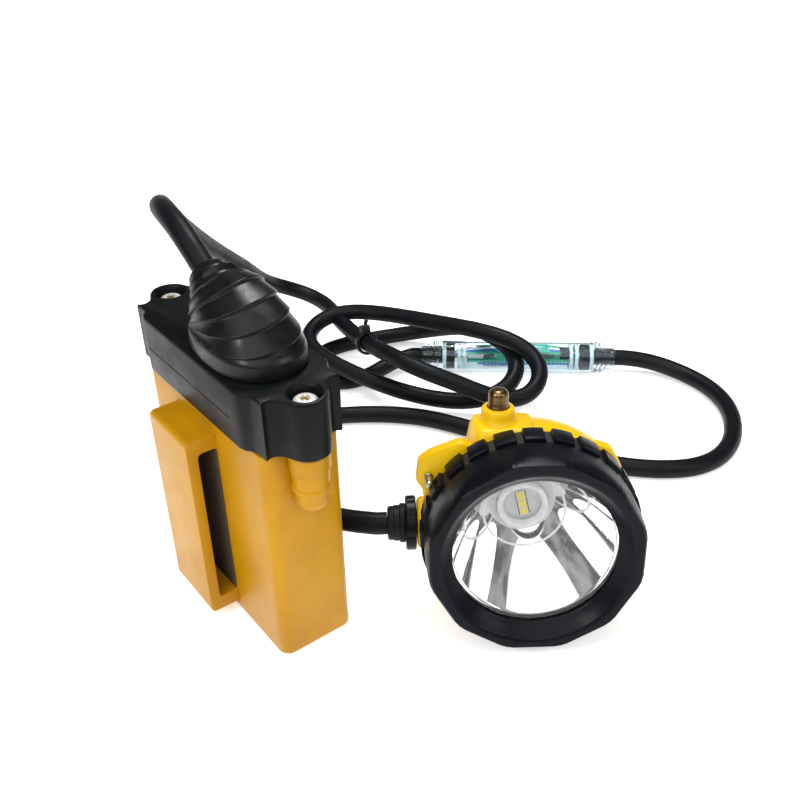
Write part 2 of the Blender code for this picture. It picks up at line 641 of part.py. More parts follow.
def bezel_ring():
    """Lip, conical recess down to the window, seat for the lens, and the thick grip ring behind."""
    neck = NECK_RADIUS + GAP
    seat = LENS_RADIUS + GAP
    profile = [
        (LIP_RADIUS, 0), (40.4 * MM, -5 * MM), (40.8 * MM, -16 * MM), (RING_RADIUS, -17.4 * MM),
        (RING_RADIUS, RING_BACK), (neck, RING_BACK), (neck, -13 * MM), (seat, -13 * MM),
        (seat, LENS_FRONT + GAP), (WINDOW_RADIUS, LENS_FRONT + GAP), (WINDOW_RADIUS, WINDOW_FRONT),
        (LIP_RADIUS - 4.6 * MM, -0.8 * MM), (LIP_RADIUS - 3.8 * MM, 0),
    ]
    turned("bezel_ring", profile, BLACK, parent=HEAD, steps=60)


def optics():
    lens_back = LENS_FRONT - LENS_THICKNESS
    cylinder("lens", LENS_RADIUS, lens_back, LENS_FRONT, CLEAR, parent=HEAD, segments=48)
    high, low = lens_back - GAP, lens_back - GAP - 1.2 * MM
    seal = [(LENS_RADIUS, high), (LENS_RADIUS, low), (31.5 * MM, low), (31.5 * MM, high)]
    turned("lens_gasket", seal, RUBBER, parent=HEAD, steps=40)
    front, mouth = low - 0.9 * MM, 30.8 * MM
    bowl = []
    for i in range(BOWL_SPANS + 1):
        radius = mouth + (THROAT_RADIUS - mouth) * i / BOWL_SPANS
        rise = (radius**2 - THROAT_RADIUS**2) / (mouth**2 - THROAT_RADIUS**2)
        bowl.append((radius, REFLECTOR_BACK + (front - REFLECTOR_BACK) * rise))
    outer = [(r + 1.4 * MM, z - 0.8 * MM) for r, z in bowl[::-1]]
    outer[0] = (THROAT_RADIUS + 1.6 * MM, REFLECTOR_BACK)
    low, high = front - 1.5 * MM, front + 0.6 * MM
    rim = [(outer[-1][0], low), (LENS_RADIUS, low), (LENS_RADIUS, high), (mouth, high)]
    turned("reflector", bowl + outer[:-1] + rim, MIRROR, parent=HEAD, steps=48)
    face = REFLECTOR_BACK
    ring = [(10.1, 2), (10.1, 0.6), (7.9, 0.6), (7.9, 2)]
    turned("led_ring", [(r * MM, face + z * MM) for r, z in ring], WHITE, parent=HEAD, steps=32)
    cylinder("led_board", 9.4 * MM, face - 2 * MM, face - 0.8 * MM, WHITE, parent=HEAD, segments=32)
    for number in (1, 2, 3):
        y = (number - 2) * LED_PITCH
        box(f"led_chip_{number}", LED_CHIP, (0, y, face), PHOSPHOR, parent=HEAD)
    sink = [(0, -2.4), (21, -2.4), (21, -4.2), (16, -4.2), (16, -6.6), (0, -6.6)]
    turned("heat_sink", [(r * MM, face + z * MM) for r, z in sink], ALUMINIUM, parent=HEAD, steps=32)
    cylinder("driver_board", 15 * MM, face - 9 * MM, face - 7.4 * MM, BOARD, parent=HEAD, segments=28)


def switch():
    cap = [
        (0, 53.4), (2.2, 53.1), (3.4, 52.4), (3.8, 51.4), (3.8, 48), (4.1, 47.4), (4.1, 46.2), (2.7, 46),
        (2.7, 36), (0, 36),
    ]
    turned("switch_button", [(r * MM, z * MM) for r, z in cap], BRONZE, BUTTON_FRAME, HEAD, 32)
    coil = []
    for i in range(SPRING_POINTS + 1):
        a = 2 * math.pi * SPRING_TURNS * i / SPRING_POINTS
        rise = SPRING_LOW + SPRING_LENGTH * i / SPRING_POINTS
        place = (SPRING_RADIUS * math.cos(a), SPRING_RADIUS * math.sin(a), rise)
        coil.append(BUTTON_FRAME @ Vector(place))
    tube("button_spring", coil, SPRING_WIRE, STEEL, HEAD, 1)
    box("micro_switch", (5 * MM, 5 * MM, 4.4 * MM), (0, 0, 30 * MM), BLACK, BUTTON_FRAME, HEAD)


def gland():
    nut = [(5.6, 43), (10.8, 43), (10.8, 47.2), (5.6, 47.2)]
    turned("gland_nut", [(r * MM, z * MM) for r, z in nut], BLACK, GLAND_FRAME, HEAD, 24)
    bush = [(0, 38), (4.7, 38), (4.7, 47.5), (7.2, 47.5), (7, 51), (6.9, 54), (6, 54.4), (0, 54.4)]
    turned("gland_bush", [(r * MM, z * MM) for r, z in bush], RUBBER, GLAND_FRAME, HEAD, 24)


def charging_contact():
    at = Matrix.Translation((STUD_X, STUD_Y, 0))
    profile = [(0, -19.4), (1.0, -19.6), (1.5, -20.2), (1.5, -26.1), (0.9, -26.1), (0.9, -33), (0, -33)]
    turned("charging_contact", [(r * MM, z * MM) for r, z in profile], STEEL, at, HEAD, 20)


def helmet_hook():
    """A bent strip on a pad at the back of the housing, open downwards for the helmet's bracket."""
    thick, gap = 1.5, 4
    back = -59.2
    pad = back - thick
    strip = pad - gap
    profile = [
        (10, back), (10, strip - thick), (-24, strip - thick), (-24, strip), (8.5, strip), (8.5, pad),
        (-6, pad), (-6, back),
    ]
    # The profile's plane is local Y and Z, and it is raised along local X.
    along_x = Matrix(((0, 0, 1, 0), (1, 0, 0, 0), (0, 1, 0, 0), (0, 0, 0, 1)))
    outline = [(y * MM, z * MM) for y, z in profile]
    prism("helmet_hook", [outline], -9 * MM, 9 * MM, STEEL, along_x, HEAD)


battery_case()
belt_loop()
cover()
cover_gasket()
cover_screws()
cells()
strain_relief_boot()
cables()
inline_module()
cable_tie()
lamp_housing()
bezel_ring()
optics()
switch()
gland()
charging_contact()
helmet_hook()
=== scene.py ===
"""The miner's cap lamp's looks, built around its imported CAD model.

Metres, +Z up, in the frame of the CAD model: the origin is the centre of the battery's base, and
the battery's belt loop faces -Y. The headpiece has a frame of its own, with its beam along +Z.
"""

import math

import bmesh
import bpy
import numpy as np
from mathutils import Matrix, Vector


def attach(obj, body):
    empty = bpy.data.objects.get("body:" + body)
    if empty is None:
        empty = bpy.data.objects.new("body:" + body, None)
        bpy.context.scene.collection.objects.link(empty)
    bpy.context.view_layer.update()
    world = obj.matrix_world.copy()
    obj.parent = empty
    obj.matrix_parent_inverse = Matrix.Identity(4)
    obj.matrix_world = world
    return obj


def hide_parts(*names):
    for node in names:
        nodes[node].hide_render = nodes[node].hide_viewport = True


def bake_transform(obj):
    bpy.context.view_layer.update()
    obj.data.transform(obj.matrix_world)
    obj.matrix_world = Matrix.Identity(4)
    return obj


MM = 0.001
PACK, HEADPIECE, BUTTON = "battery_pack", "headpiece", "button"

# Camera, fitted to the photograph
CAMERA_PLACE = Vector((274.4, -130.1, 273.4)) * MM
CAMERA_HEADING = math.radians(53.1)
CAMERA_DIP = math.radians(31.9)
CAMERA_ROLL = math.radians(-1.2)
CAMERA_LENS = 41.77

# Light
SUN_STRENGTH = 2.1
SUN_SPREAD = 1.2
WORLD_STRENGTH = 0.35
WORLD_DARKEST = 0.01
CLOUD_SCALE = 3.5
CLOUD_RANGE = (0.40, 0.62)
FLOOR_GLOW = 0.45
FLOOR_DROP = 0.0002

# Battery
CASE = (90.6, 31.6, 93.6)
CASE_CORNER = 4.6
CASE_WALL = 2.8
LOBE_X, LOBE_RADIUS = 49.6, 8.0
BOSS_X = LOBE_X - 0.6
COVER_LOW, COVER_TOP = 93.9, 116.7
BOOT_X = 12.8
BOOT_BANDS = 4.4
BOOT_LIP = 1.15
BOOT_MOUTH = Vector((-12.5, 0, 137.7))
BOOT_LEAN_DEGREES = 60
BOOT_LEAN = math.radians(BOOT_LEAN_DEGREES)

# Cable
CABLE_DIAMETER = 9
CABLE_END = 5
CABLE_STEP = 2.2
BATTERY_SIDE_ROUTE = [
    (-31, 0, 148.4), (-48, 2.5, 149.6), (-70, 10, 144.2), (-94, 22, 132.6), (-118, 38, 114.6),
    (-148, 66, 86), (-172, 96, 58), (-186.5, 116, 38.5), (-190.5, 130, 29.5), (-184, 142.5, 23.5),
    (-167, 146.5, 20.8), (-147, 140.5, 21.5), (-127, 135, 24), (-103, 131, 26), (-73, 128, 31),
    (-55, 134, 28), (-41, 145, 23), (-30, 154, 18), (-21, 162, 15.5), (-17, 172, 15.5),
    (-18.5, 182.5, 19), (-26, 190.5, 23.8), (-36.5, 191.5, 28.4), (-48, 187.5, 31.8),
    (-64, 180.5, 33), (-88, 172, 31), (-113, 162, 29), (-131, 153, 27.5), (-144.5, 141, 26),
    (-147.5, 127, 23),
    (-138.5, 113.5, 20), (-120, 111, 17.5), (-95, 118, 14), (-70, 129, 11), (-53, 142, 8.5), (-40, 154, 9),
    (-33, 165, 12), (-32, 175.5, 15.5), (-38, 185.5, 19.5), (-49, 191, 23.2), (-64, 192, 25), (-84, 192, 23),
    (-105, 190, 15), (-124, 181, 7.5), (-136, 164, 4.7), (-142, 147, 4.6), (-143.5, 129, 4.6),
    (-137, 113.5, 4.6), (-122, 106.5, 4.6), (-107, 113.5, 4.7), (-102, 129, 5), (-103, 142, 6.5),
    (-102.5, 152, 8.4),
]
LAMP_SIDE_ROUTE = [
    (-15.5, 258, 8.8), (-5, 266, 7), (9, 271, 5), (25, 270.5, 4.6), (42, 263.5, 4.6), (56, 251, 4.6),
    (66, 236, 4.6), (71, 220, 4.6), (69, 203, 4.6), (59, 188, 4.6), (46, 176, 4.6), (24, 163, 4.6),
    (-8, 148, 4.6), (-28, 139, 4.6), (-48, 129, 4.6), (-64, 115, 4.6), (-77, 98, 4.6), (-88, 77, 4.6),
    (-92, 56, 4.6), (-83, 36, 5.5), (-62, 26, 11), (-36, 23, 18.5), (-10, 21.9, 26.5), (7, 21.8, 31),
    (18, 22.6, 34), (27, 25.5, 36),
]

# Inline module
MODULE_FRONT = Vector((-60, 206.4, 9.2))
MODULE_AXIS = Vector((0.65, 0.76, 0)).normalized()
MODULE_HALF = 43
MODULE_RADIUS = 9
CAP_LENGTH = 12.2
TIE_POINT = Vector((-103, 131, 26))
TIE_DIRECTION = Vector((30, -8, 12)).normalized()

# Headpiece
LIP_CENTRE = Vector((101, 61.2, 45))
BEAM_HEADING = math.radians(53.9)
BEAM_TILT = math.radians(6.8)
BUTTON_X, BUTTON_Z = -11.5, -35.4
GLAND_Y, GLAND_Z, GLAND_END = -4.2, -36, -54.4
STUD = (-38.4, 22)
REFLECTOR_BACK = -42
LED_TURN = math.radians(13)
LED_PITCH = 3.7
BLOCKS = 24  # the grip blocks round the bezel
BLOCK_ROOT = 40.3
GAP_FLOOR = ((40.1, -17.1), (40.42, -17.4), (40.42, -25.2), (40.1, -25.6))
FLATS = 12  # the facets of its lip

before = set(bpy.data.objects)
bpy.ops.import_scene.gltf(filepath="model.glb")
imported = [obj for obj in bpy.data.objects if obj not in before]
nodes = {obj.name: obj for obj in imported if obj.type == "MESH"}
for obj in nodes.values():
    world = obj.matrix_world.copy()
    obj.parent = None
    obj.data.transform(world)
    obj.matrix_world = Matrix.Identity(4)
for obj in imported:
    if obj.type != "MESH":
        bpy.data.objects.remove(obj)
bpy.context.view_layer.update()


# Materials


class Paint:
    """A Principled material and the nodes that give it its detail."""

    def __init__(self, name, colour, roughness, metallic=0.0, **sockets):
        self.material = bpy.data.materials.new(name)
        self.material.use_nodes = True
        self.tree = self.material.node_tree
        self.shader = self.tree.nodes["Principled BSDF"]
        self.set("Base Color", (*colour, 1))
        self.set("Roughness", roughness)
        self.set("Metallic", metallic)
        for socket, value in sockets.items():
            self.set(socket.replace("_", " "), value)
        self.place = self.tree.nodes.new("ShaderNodeTexCoord").outputs["Object"]

    def set(self, socket, value):
        self.shader.inputs[socket].default_value = value

    def link(self, source, socket):
        self.tree.links.new(source, self.shader.inputs[socket])

    def stretched(self, scale):
        mapping = self.tree.nodes.new("ShaderNodeMapping")
        mapping.inputs["Scale"].default_value = scale
        self.tree.links.new(self.place, mapping.inputs["Vector"])
        return mapping.outputs["Vector"]

    def noise(self, scale, detail=3.0, roughness=0.5, place=None):
        """Noise with this many features to the metre."""
        made = self.tree.nodes.new("ShaderNodeTexNoise")
        made.inputs["Scale"].default_value = scale
        made.inputs["Detail"].default_value = detail
        made.inputs["Roughness"].default_value = roughness
        self.tree.links.new(place or self.place, made.inputs["Vector"])
        return made.outputs["Fac"]

    def spread(self, source, low, high, start=0.3, end=0.7):
        """The source's start to end, mapped to low to high."""
        made = self.tree.nodes.new("ShaderNodeMapRange")
        made.inputs["From Min"].default_value = start
        made.inputs["From Max"].default_value = end
        made.inputs["To Min"].default_value = low
        made.inputs["To Max"].default_value = high
        self.tree.links.new(source, made.inputs["Value"])
        return made.outputs["Result"]

    def mix(self, factor, first, second):
        """A mix of two colours, each a tuple or another node's output."""
        made = self.tree.nodes.new("ShaderNodeMix")
        made.data_type = "RGBA"
        if isinstance(factor, float):
            made.inputs["Factor"].default_value = factor
        else:
            self.tree.links.new(factor, made.inputs["Factor"])
        for socket, colour in ((made.inputs[6], first), (made.inputs[7], second)):
            if isinstance(colour, tuple):
                socket.default_value = (*colour, 1)
            else:
                self.tree.links.new(colour, socket)
        return made.outputs[2]

    def bump(self, height, depth_mm, strength=1.0, over=None):
        made = self.tree.nodes.new("ShaderNodeBump")
        made.inputs["Distance"].default_value = depth_mm * MM
        made.inputs["Strength"].default_value = strength
        self.tree.links.new(height, made.inputs["Height"])
        if over:
            self.tree.links.new(over, made.inputs["Normal"])
        self.link(made.outputs["Normal"], "Normal")
        return made.outputs["Normal"]

    def let_lamps_through(self, share):
        """Shadow rays pass, so that what is behind clear plastic is lit."""
        mix = self.tree.nodes.new("ShaderNodeMixShader")
        path = self.tree.nodes.new("ShaderNodeLightPath")
        clear = self.tree.nodes.new("ShaderNodeBsdfTransparent")
        clear.inputs["Color"].default_value = (share, share, share, 1)
        output = self.tree.nodes["Material Output"]
        self.tree.links.new(path.outputs["Is Shadow Ray"], mix.inputs["Fac"])
        self.tree.links.new(self.shader.outputs["BSDF"], mix.inputs[1])
        self.tree.links.new(clear.outputs["BSDF"], mix.inputs[2])
        self.tree.links.new(mix.outputs["Shader"], output.inputs["Surface"])


def moulded(name, colour, shade, roughness, grain=0.012, sheen=0.5, **sockets):
    """Moulded plastic: faint flow marks in the colour, a fine grain and a few dull patches."""
    paint = Paint(name, colour, roughness, Specular_IOR_Level=sheen, **sockets)
    flow = paint.noise(28, 4, 0.6)
    speck = paint.noise(900, 2)
    tint = paint.mix(paint.spread(flow, 0.0, 1.0, 0.35, 0.7), colour, shade)
    paint.link(paint.mix(paint.spread(speck, 0.0, 0.25, 0.55, 0.8), tint, shade), "Base Color")
    paint.link(paint.spread(paint.noise(70, 5, 0.65), roughness - 0.06, roughness + 0.1), "Roughness")
    broad = paint.bump(paint.noise(60, 2), 0.12, 0.35)
    paint.bump(paint.noise(2600, 2), grain, 0.6, broad)
    return paint


def yellow_plastic(name, colour, shade):
    paint = moulded(name, colour, shade, 0.34, sheen=0.2, Coat_Weight=0.05)
    paint.set("Coat Roughness", 0.22)
    paint.set("Subsurface Weight", 0.06)
    paint.set("Subsurface Radius", (1.0, 0.5, 0.1))
    paint.set("Subsurface Scale", 0.002)
    return paint.material


def rubber(name, colour, roughness, dust, sheen=0.3):
    paint = Paint(name, colour, roughness, Specular_IOR_Level=sheen)
    patches = paint.spread(paint.noise(45, 6, 0.7), 0.0, 1.0, 0.5, 0.75)
    paint.link(paint.mix(patches, colour, dust), "Base Color")
    paint.link(paint.spread(paint.noise(160, 4, 0.6), roughness - 0.08, roughness + 0.1), "Roughness")
    waves = paint.bump(paint.noise(130, 3), 0.16, 0.4)
    paint.bump(paint.noise(1700, 3, 0.6), 0.03, 0.7, waves)
    return paint.material


def metal(name, colour, roughness, stretch=(1, 1, 12)):
    """Worked metal, with fine marks along its turning."""
    paint = Paint(name, colour, roughness, 1.0)
    marks = paint.noise(900, 4, 0.7, paint.stretched(stretch))
    paint.link(paint.spread(marks, roughness - 0.08, roughness + 0.12), "Roughness")
    darker = tuple(0.8 * c for c in colour)
    paint.link(paint.mix(paint.spread(paint.noise(240), 0.0, 1.0), colour, darker), "Base Color")
    paint.bump(marks, 0.01, 0.5)
    return paint.material


def clear_plastic(name, colour, roughness, share, ior=1.45):
    paint = Paint(name, colour, roughness, Transmission_Weight=1.0, IOR=ior)
    paint.bump(paint.noise(90, 2), 0.05, 0.25)
    paint.let_lamps_through(share)
    return paint.material


def circuit_board(name, colour, trace):
    """Solder mask over a pattern of traces."""
    paint = Paint(name, colour, 0.35)
    lines = paint.tree.nodes.new("ShaderNodeTexBrick")
    lines.inputs["Scale"].default_value = 160
    lines.inputs["Mortar Size"].default_value = 0.06
    lines.inputs["Color1"].default_value = (0, 0, 0, 1)
    lines.inputs["Color2"].default_value = (0.15, 0.15, 0.15, 1)
    lines.inputs["Mortar"].default_value = (1, 1, 1, 1)
    paint.tree.links.new(paint.place, lines.inputs["Vector"])
    paint.link(paint.mix(lines.outputs["Color"], colour, trace), "Base Color")
    paint.bump(lines.outputs["Color"], 0.05, 0.5)
    return paint.material


def plain(name, colour, roughness, metallic=0.0, scale=300, grain=0.006, **sockets):
    """A simple finish with a little variation in its colour and its polish."""
    paint = Paint(name, colour, roughness, metallic, **sockets)
    darker = tuple(0.82 * c for c in colour)
    paint.link(paint.mix(paint.spread(paint.noise(scale, 4), 0.0, 1.0), colour, darker), "Base Color")
    paint.link(paint.spread(paint.noise(scale * 2), roughness * 0.8, roughness * 1.25 + 0.02), "Roughness")
    paint.bump(paint.noise(scale * 4), grain, 0.5)
    return paint.material


def mirror_coating():
    """Vacuum-coated plastic: a mirror with slight ripples from its mould."""
    paint = Paint("mirror_coating", (0.93, 0.935, 0.95), 0.035, 1.0)
    paint.link(paint.spread(paint.noise(200, 4), 0.02, 0.06), "Roughness")
    paint.bump(paint.noise(70, 2), 0.06, 0.35)
    return paint.material


YELLOW = yellow_plastic("yellow_plastic", (0.54, 0.262, 0.001), (0.44, 0.205, 0.001))
LAMP_YELLOW = yellow_plastic("lamp_yellow_plastic", (0.80, 0.50, 0.002), (0.72, 0.42, 0.001))
COVER = moulded("cover_plastic", (0.0035, 0.0045, 0.0048), (0.006, 0.0075, 0.0078), 0.38, 0.02, 0.12).material
BEZEL = moulded("bezel_plastic", (0.002, 0.0028, 0.005), (0.003, 0.004, 0.007), 0.32, 0.004, 0.12).material
GRIP_GAP = moulded("bezel_gap_plastic", (0.02, 0.022, 0.02), (0.04, 0.042, 0.038), 0.5, 0.02, 0.2).material
BOOT = rubber("boot_rubber", (0.003, 0.0035, 0.0045), 0.33, (0.006, 0.007, 0.008), 0.24)
CABLE = rubber("cable_rubber", (0.003, 0.004, 0.0055), 0.44, (0.006, 0.008, 0.010), 0.13)
SEAL = rubber("seal_rubber", (0.003, 0.003, 0.0035), 0.55, (0.007, 0.007, 0.007), 0.2)
STEEL = metal("plated_steel", (0.78, 0.78, 0.80), 0.22)
# Painted shade: the dark brown sheet in the belt slot stands in for the shadow there
PAINTED_SHADE_PAD = rubber("belt_slot_painted_shade_finish", (0.075, 0.058, 0.042), 0.85, (0.11, 0.085, 0.06), 0.0)
BRIGHT = plain("bright_plating", (0.93, 0.93, 0.91), 0.34, 0.55, grain=0.0005)
STUD_METAL = plain("stud_plating", (0.42, 0.39, 0.36), 0.3, 1.0, grain=0.001)
BRASS = metal("turned_brass", (0.78, 0.58, 0.25), 0.28)
BRONZE = metal("button_bronze", (0.17, 0.115, 0.05), 0.26)
ALUMINIUM = metal("machined_aluminium", (0.80, 0.81, 0.83), 0.32)
MIRROR = mirror_coating()
LENS = clear_plastic("lens_clear", (1, 1, 1), 0.0, 0.94)
MODULE_CLEAR = clear_plastic("module_clear", (0.82, 0.93, 0.97), 0.10, 0.8, 1.35)
BOARD = circuit_board("board_green", (0.01, 0.19, 0.13), (0.06, 0.42, 0.30))
BLUE_BOARD = circuit_board("board_blue", (0.015, 0.07, 0.30), (0.1, 0.3, 0.6))
WHITE = plain("led_white", (0.86, 0.87, 0.87), 0.35)
BRIGHT_WHITE = plain("led_ring_white", (0.95, 0.95, 0.95), 0.3)
LED_GREY = plain("led_substrate", (0.62, 0.64, 0.67), 0.3)
PHOSPHOR = plain("led_phosphor", (0.98, 0.80, 0.02), 0.35, scale=900)
CERAMIC = plain("led_ceramic", (0.96, 0.90, 0.50), 0.4)
WRAP = plain("cell_wrap", (0.05, 0.16, 0.45), 0.3)
FROSTED = plain("frosted_plastic", (0.55, 0.62, 0.66), 0.3)
GREEN_WIRE = plain("wire_green", (0.02, 0.30, 0.17), 0.35)
BLUE_WIRE = plain("wire_blue", (0.02, 0.12, 0.45), 0.35)
FOAM = rubber("grey_foam", (0.10, 0.10, 0.10), 0.9, (0.16, 0.16, 0.16))
RED = plain("lead_red", (0.5, 0.02, 0.02), 0.45)
BLACK = moulded(
    "small_black_plastic", (0.004, 0.004, 0.005), (0.008, 0.008, 0.009), 0.38, sheen=0.25,
).material

# Inside the module's tube: each piece's name, size, place, finish and slot
MODULE_PIECES = (
    ("strip", (12.4, 0.8, 52), (0, -1.6, 3), BLUE_BOARD, "circuit_board"),
    ("holder", (9.5, 1.2, 24), (0, -4.4, -8), WHITE, "led_white"),
    ("shield", (10.5, 2.6, 15), (0, 2.6, -27), FROSTED, "led_white"),
    ("coil", (6.5, 4.2, 6.5), (-1.5, 3.4, 27.5), BLACK, "cover_black"),
    ("capacitor", (4.5, 4.5, 9), (2.6, 3.6, 8.5), BLUE_WIRE, "circuit_board"),
    ("plate", (11, 0.6, 12), (0, 5.6, 12), BOARD, "circuit_board"),
)
CAD_FINISHES = {
    "cover_gasket": SEAL, "threaded_insert_left": BRASS, "threaded_insert_right": BRASS,
    "cell_1": WRAP, "cell_2": WRAP, "cell_3": WRAP, "cell_4": WRAP,
    "cell_pad": FOAM, "cell_holder_bottom": BLACK, "cell_holder_top": BLACK,
    "busbar_bottom": STEEL, "busbar_top": STEEL, "protection_board": BOARD,
    "lead_red": RED, "lead_black": SEAL,
    "module_grommet_left": SEAL, "module_grommet_right": SEAL, "module_board": BOARD,
    "lens_gasket": SEAL, "heat_sink": ALUMINIUM, "driver_board": BOARD, "micro_switch": BLACK,
    "button_spring": STEEL,
}


# Shapes, all in millimetres until they are made


def frame_facing(origin, direction, up=(0, 0, 1)):
    """The matrix of a frame at origin whose Z points along direction."""
    z = Vector(direction).normalized()
    x = Vector(up).cross(z)
    if x.length < 1e-6:
        x = Vector((1, 0, 0))
    x.normalize()
    return Matrix.Translation(origin) @ Matrix((x, z.cross(x), z)).transposed().to_4x4()


BEAM = Vector((
    math.sin(BEAM_HEADING) * math.cos(BEAM_TILT),
    -math.cos(BEAM_HEADING) * math.cos(BEAM_TILT),
    math.sin(BEAM_TILT),
))
HEAD = frame_facing(LIP_CENTRE, BEAM)
ALONG_X = Matrix(((0, 0, 1, 0), (1, 0, 0, 0), (0, 1, 0, 0), (0, 0, 0, 1)))  # turns a prism to run along X
BUTTON_FRAME = HEAD @ frame_facing((BUTTON_X, 0, BUTTON_Z), (0, 1, 0))
GLAND_FRAME = HEAD @ frame_facing((0, GLAND_Y, GLAND_Z), (-1, 0, 0), (0, 1, 0))
MODULE_FRAME = frame_facing(MODULE_FRONT, MODULE_AXIS)


def make(name, verts, faces, material=None, at=None):
    """A mesh object from points in millimetres in the frame at, with normals facing out."""
    mesh = bpy.data.meshes.new(name)
    place = Matrix.Scale(MM, 4) @ (at or Matrix())
    mesh.from_pydata([place @ Vector(v) for v in verts], [], faces)
    bm = bmesh.new()
    bm.from_mesh(mesh)
    bmesh.ops.remove_doubles(bm, verts=bm.verts, dist=1e-7)
    bmesh.ops.recalc_face_normals(bm, faces=bm.faces)
    bm.to_mesh(mesh)
    bm.free()
    made = bpy.data.objects.new(name, mesh)
    bpy.context.scene.collection.objects.link(made)
    if material:
        mesh.materials.append(material)
    return made


def skin(name, rings, material=None, at=None, closed=False):
    """A surface over rings of equally many points. Its ends are capped unless the rings close."""
    count = len(rings[0])
    verts = [tuple(point) for ring in rings for point in ring]
    faces = []
    for row in range(len(rings) if closed else len(rings) - 1):
        low, high = row * count, (row + 1) % len(rings) * count
        for i in range(count):
            j = (i + 1) % count
            faces.append((low + i, low + j, high + j, high + i))
    if not closed:
        faces.append(tuple(range(count))[::-1])
        faces.append(tuple(range(len(verts) - count, len(verts))))
    return make(name, verts, faces, material, at)


def turned(name, profile, material=None, at=None, columns=64, radius_at=None):
    """A profile of (radius, height) turned about Z. radius_at may change the radius with the angle."""
    closed = min(r for r, _ in profile) > 0
    rings = []
    for i in range(columns):
        a = 2 * math.pi * i / columns
        row = []
        for r, z in profile:
            reach = radius_at(r, z, a) if radius_at else r
            row.append((reach * math.cos(a), reach * math.sin(a), z))
        rings.append(row)
    if closed:
        return skin(name, rings, material, at, closed=True)
    count = len(profile)
    faces = []
    for i in range(columns):
        low, high = i * count, (i + 1) % columns * count
        faces += [(low + k, low + k + 1, high + k + 1, high + k) for k in range(count - 1)]
    return make(name, [p for ring in rings for p in ring], faces, material, at)


def prism(name, outline, low, high, material=None, at=None):
    return skin(name, [[(x, y, z) for x, y in outline] for z in (low, high)], material, at)


def box(name, size, centre, material=None, at=None):
    x, y, z = (s / 2 for s in size)
    cx, cy, cz = centre
    outline = [(cx - x, cy - y), (cx + x, cy - y), (cx + x, cy + y), (cx - x, cy + y)]
    return prism(name, outline, cz - z, cz + z, material, at)


def arc(centre, radius, start, end, count):
    angles = [math.radians(start + (end - start) * i / count) for i in range(count + 1)]
    return [(centre[0] + radius * math.cos(a), centre[1] + radius * math.sin(a)) for a in angles]


def circle(centre, radius, count=32):
    return arc(centre, radius, 0, 360, count)[:-1]


def rounded_rectangle(width, depth, radius, count=8):
    x, y = width / 2 - radius, depth / 2 - radius
    corners = [((x, y), 0), ((-x, y), 90), ((-x, -y), 180), ((x, -y), 270)]
    return [p for centre, start in corners for p in arc(centre, radius, start, start + 90, count)]


def rounded(outline, radius, count=5):
    """The outline with every corner sharper than 20 degrees rounded, as far as its sides allow."""
    made = []
    for i, point in enumerate(outline):
        here = Vector(point)
        back, ahead = Vector(outline[i - 1]) - here, Vector(outline[(i + 1) % len(outline)]) - here
        turn = math.pi - back.angle(ahead)
        if turn < math.radians(20):
            made.append(tuple(here))
            continue
        cut = min(radius * math.tan(turn / 2), 0.45 * back.length, 0.45 * ahead.length)
        start, end = here + back.normalized() * cut, here + ahead.normalized() * cut
        for k in range(count + 1):
            t = k / count
            made.append(tuple(start * (1 - t) ** 2 + here * 2 * t * (1 - t) + end * t**2))
    return made


def inset(outline, distance):
    """The outline moved inwards by the distance, for a small distance."""
    points = np.array(outline)
    ahead = np.roll(points, -1, axis=0) - points
    ahead /= np.linalg.norm(ahead, axis=1)[:, None]
    along = ahead + np.roll(ahead, 1, axis=0)
    along /= np.linalg.norm(along, axis=1)[:, None]
    area = np.sum(points[:, 0] * np.roll(points[:, 1], -1) - np.roll(points[:, 0], -1) * points[:, 1])
    inwards = np.stack([-along[:, 1], along[:, 0]], axis=1) * np.sign(area)
    return [tuple(p) for p in points + inwards * distance]


def stack(name, outline, levels, material=None, at=None):
    """Levels of (height, inset) of one outline."""
    rings = [[(x, y, z) for x, y in inset(outline, d)] for z, d in levels]
    return skin(name, rings, material, at)


def soften(made, width, segments=3, degrees=30, clamp=True):
    bevel = made.modifiers.new("soften", "BEVEL")
    bevel.width = width * MM
    bevel.segments = segments
    bevel.limit_method = "ANGLE"
    bevel.angle_limit = math.radians(degrees)
    bevel.use_clamp_overlap = clamp
    return made


def combine(made, other, operation="DIFFERENCE"):
    boolean = made.modifiers.new(other.name, "BOOLEAN")
    boolean.operation = operation
    boolean.object = other
    return made


def settle(made, degrees=32):
    """Applies the modifiers, drops the cutters and shades the result."""
    cutters = [m.object for m in made.modifiers if m.type == "BOOLEAN"]
    bpy.context.view_layer.update()
    graph = bpy.context.evaluated_depsgraph_get()
    mesh = bpy.data.meshes.new_from_object(made.evaluated_get(graph))
    made.modifiers.clear()
    made.data = mesh
    for cutter in cutters:
        bpy.data.objects.remove(cutter, do_unlink=True)
    mesh.shade_smooth()
    mesh.set_sharp_from_angle(angle=math.radians(degrees))
    return made


def keep(made, body, slot, *replaced, degrees=32):
    """Finishes a piece: it rides on its body and stands for the CAD nodes named."""
    settle(made, degrees)
    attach(made, body)
    if replaced:
        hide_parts(*replaced)
    return made


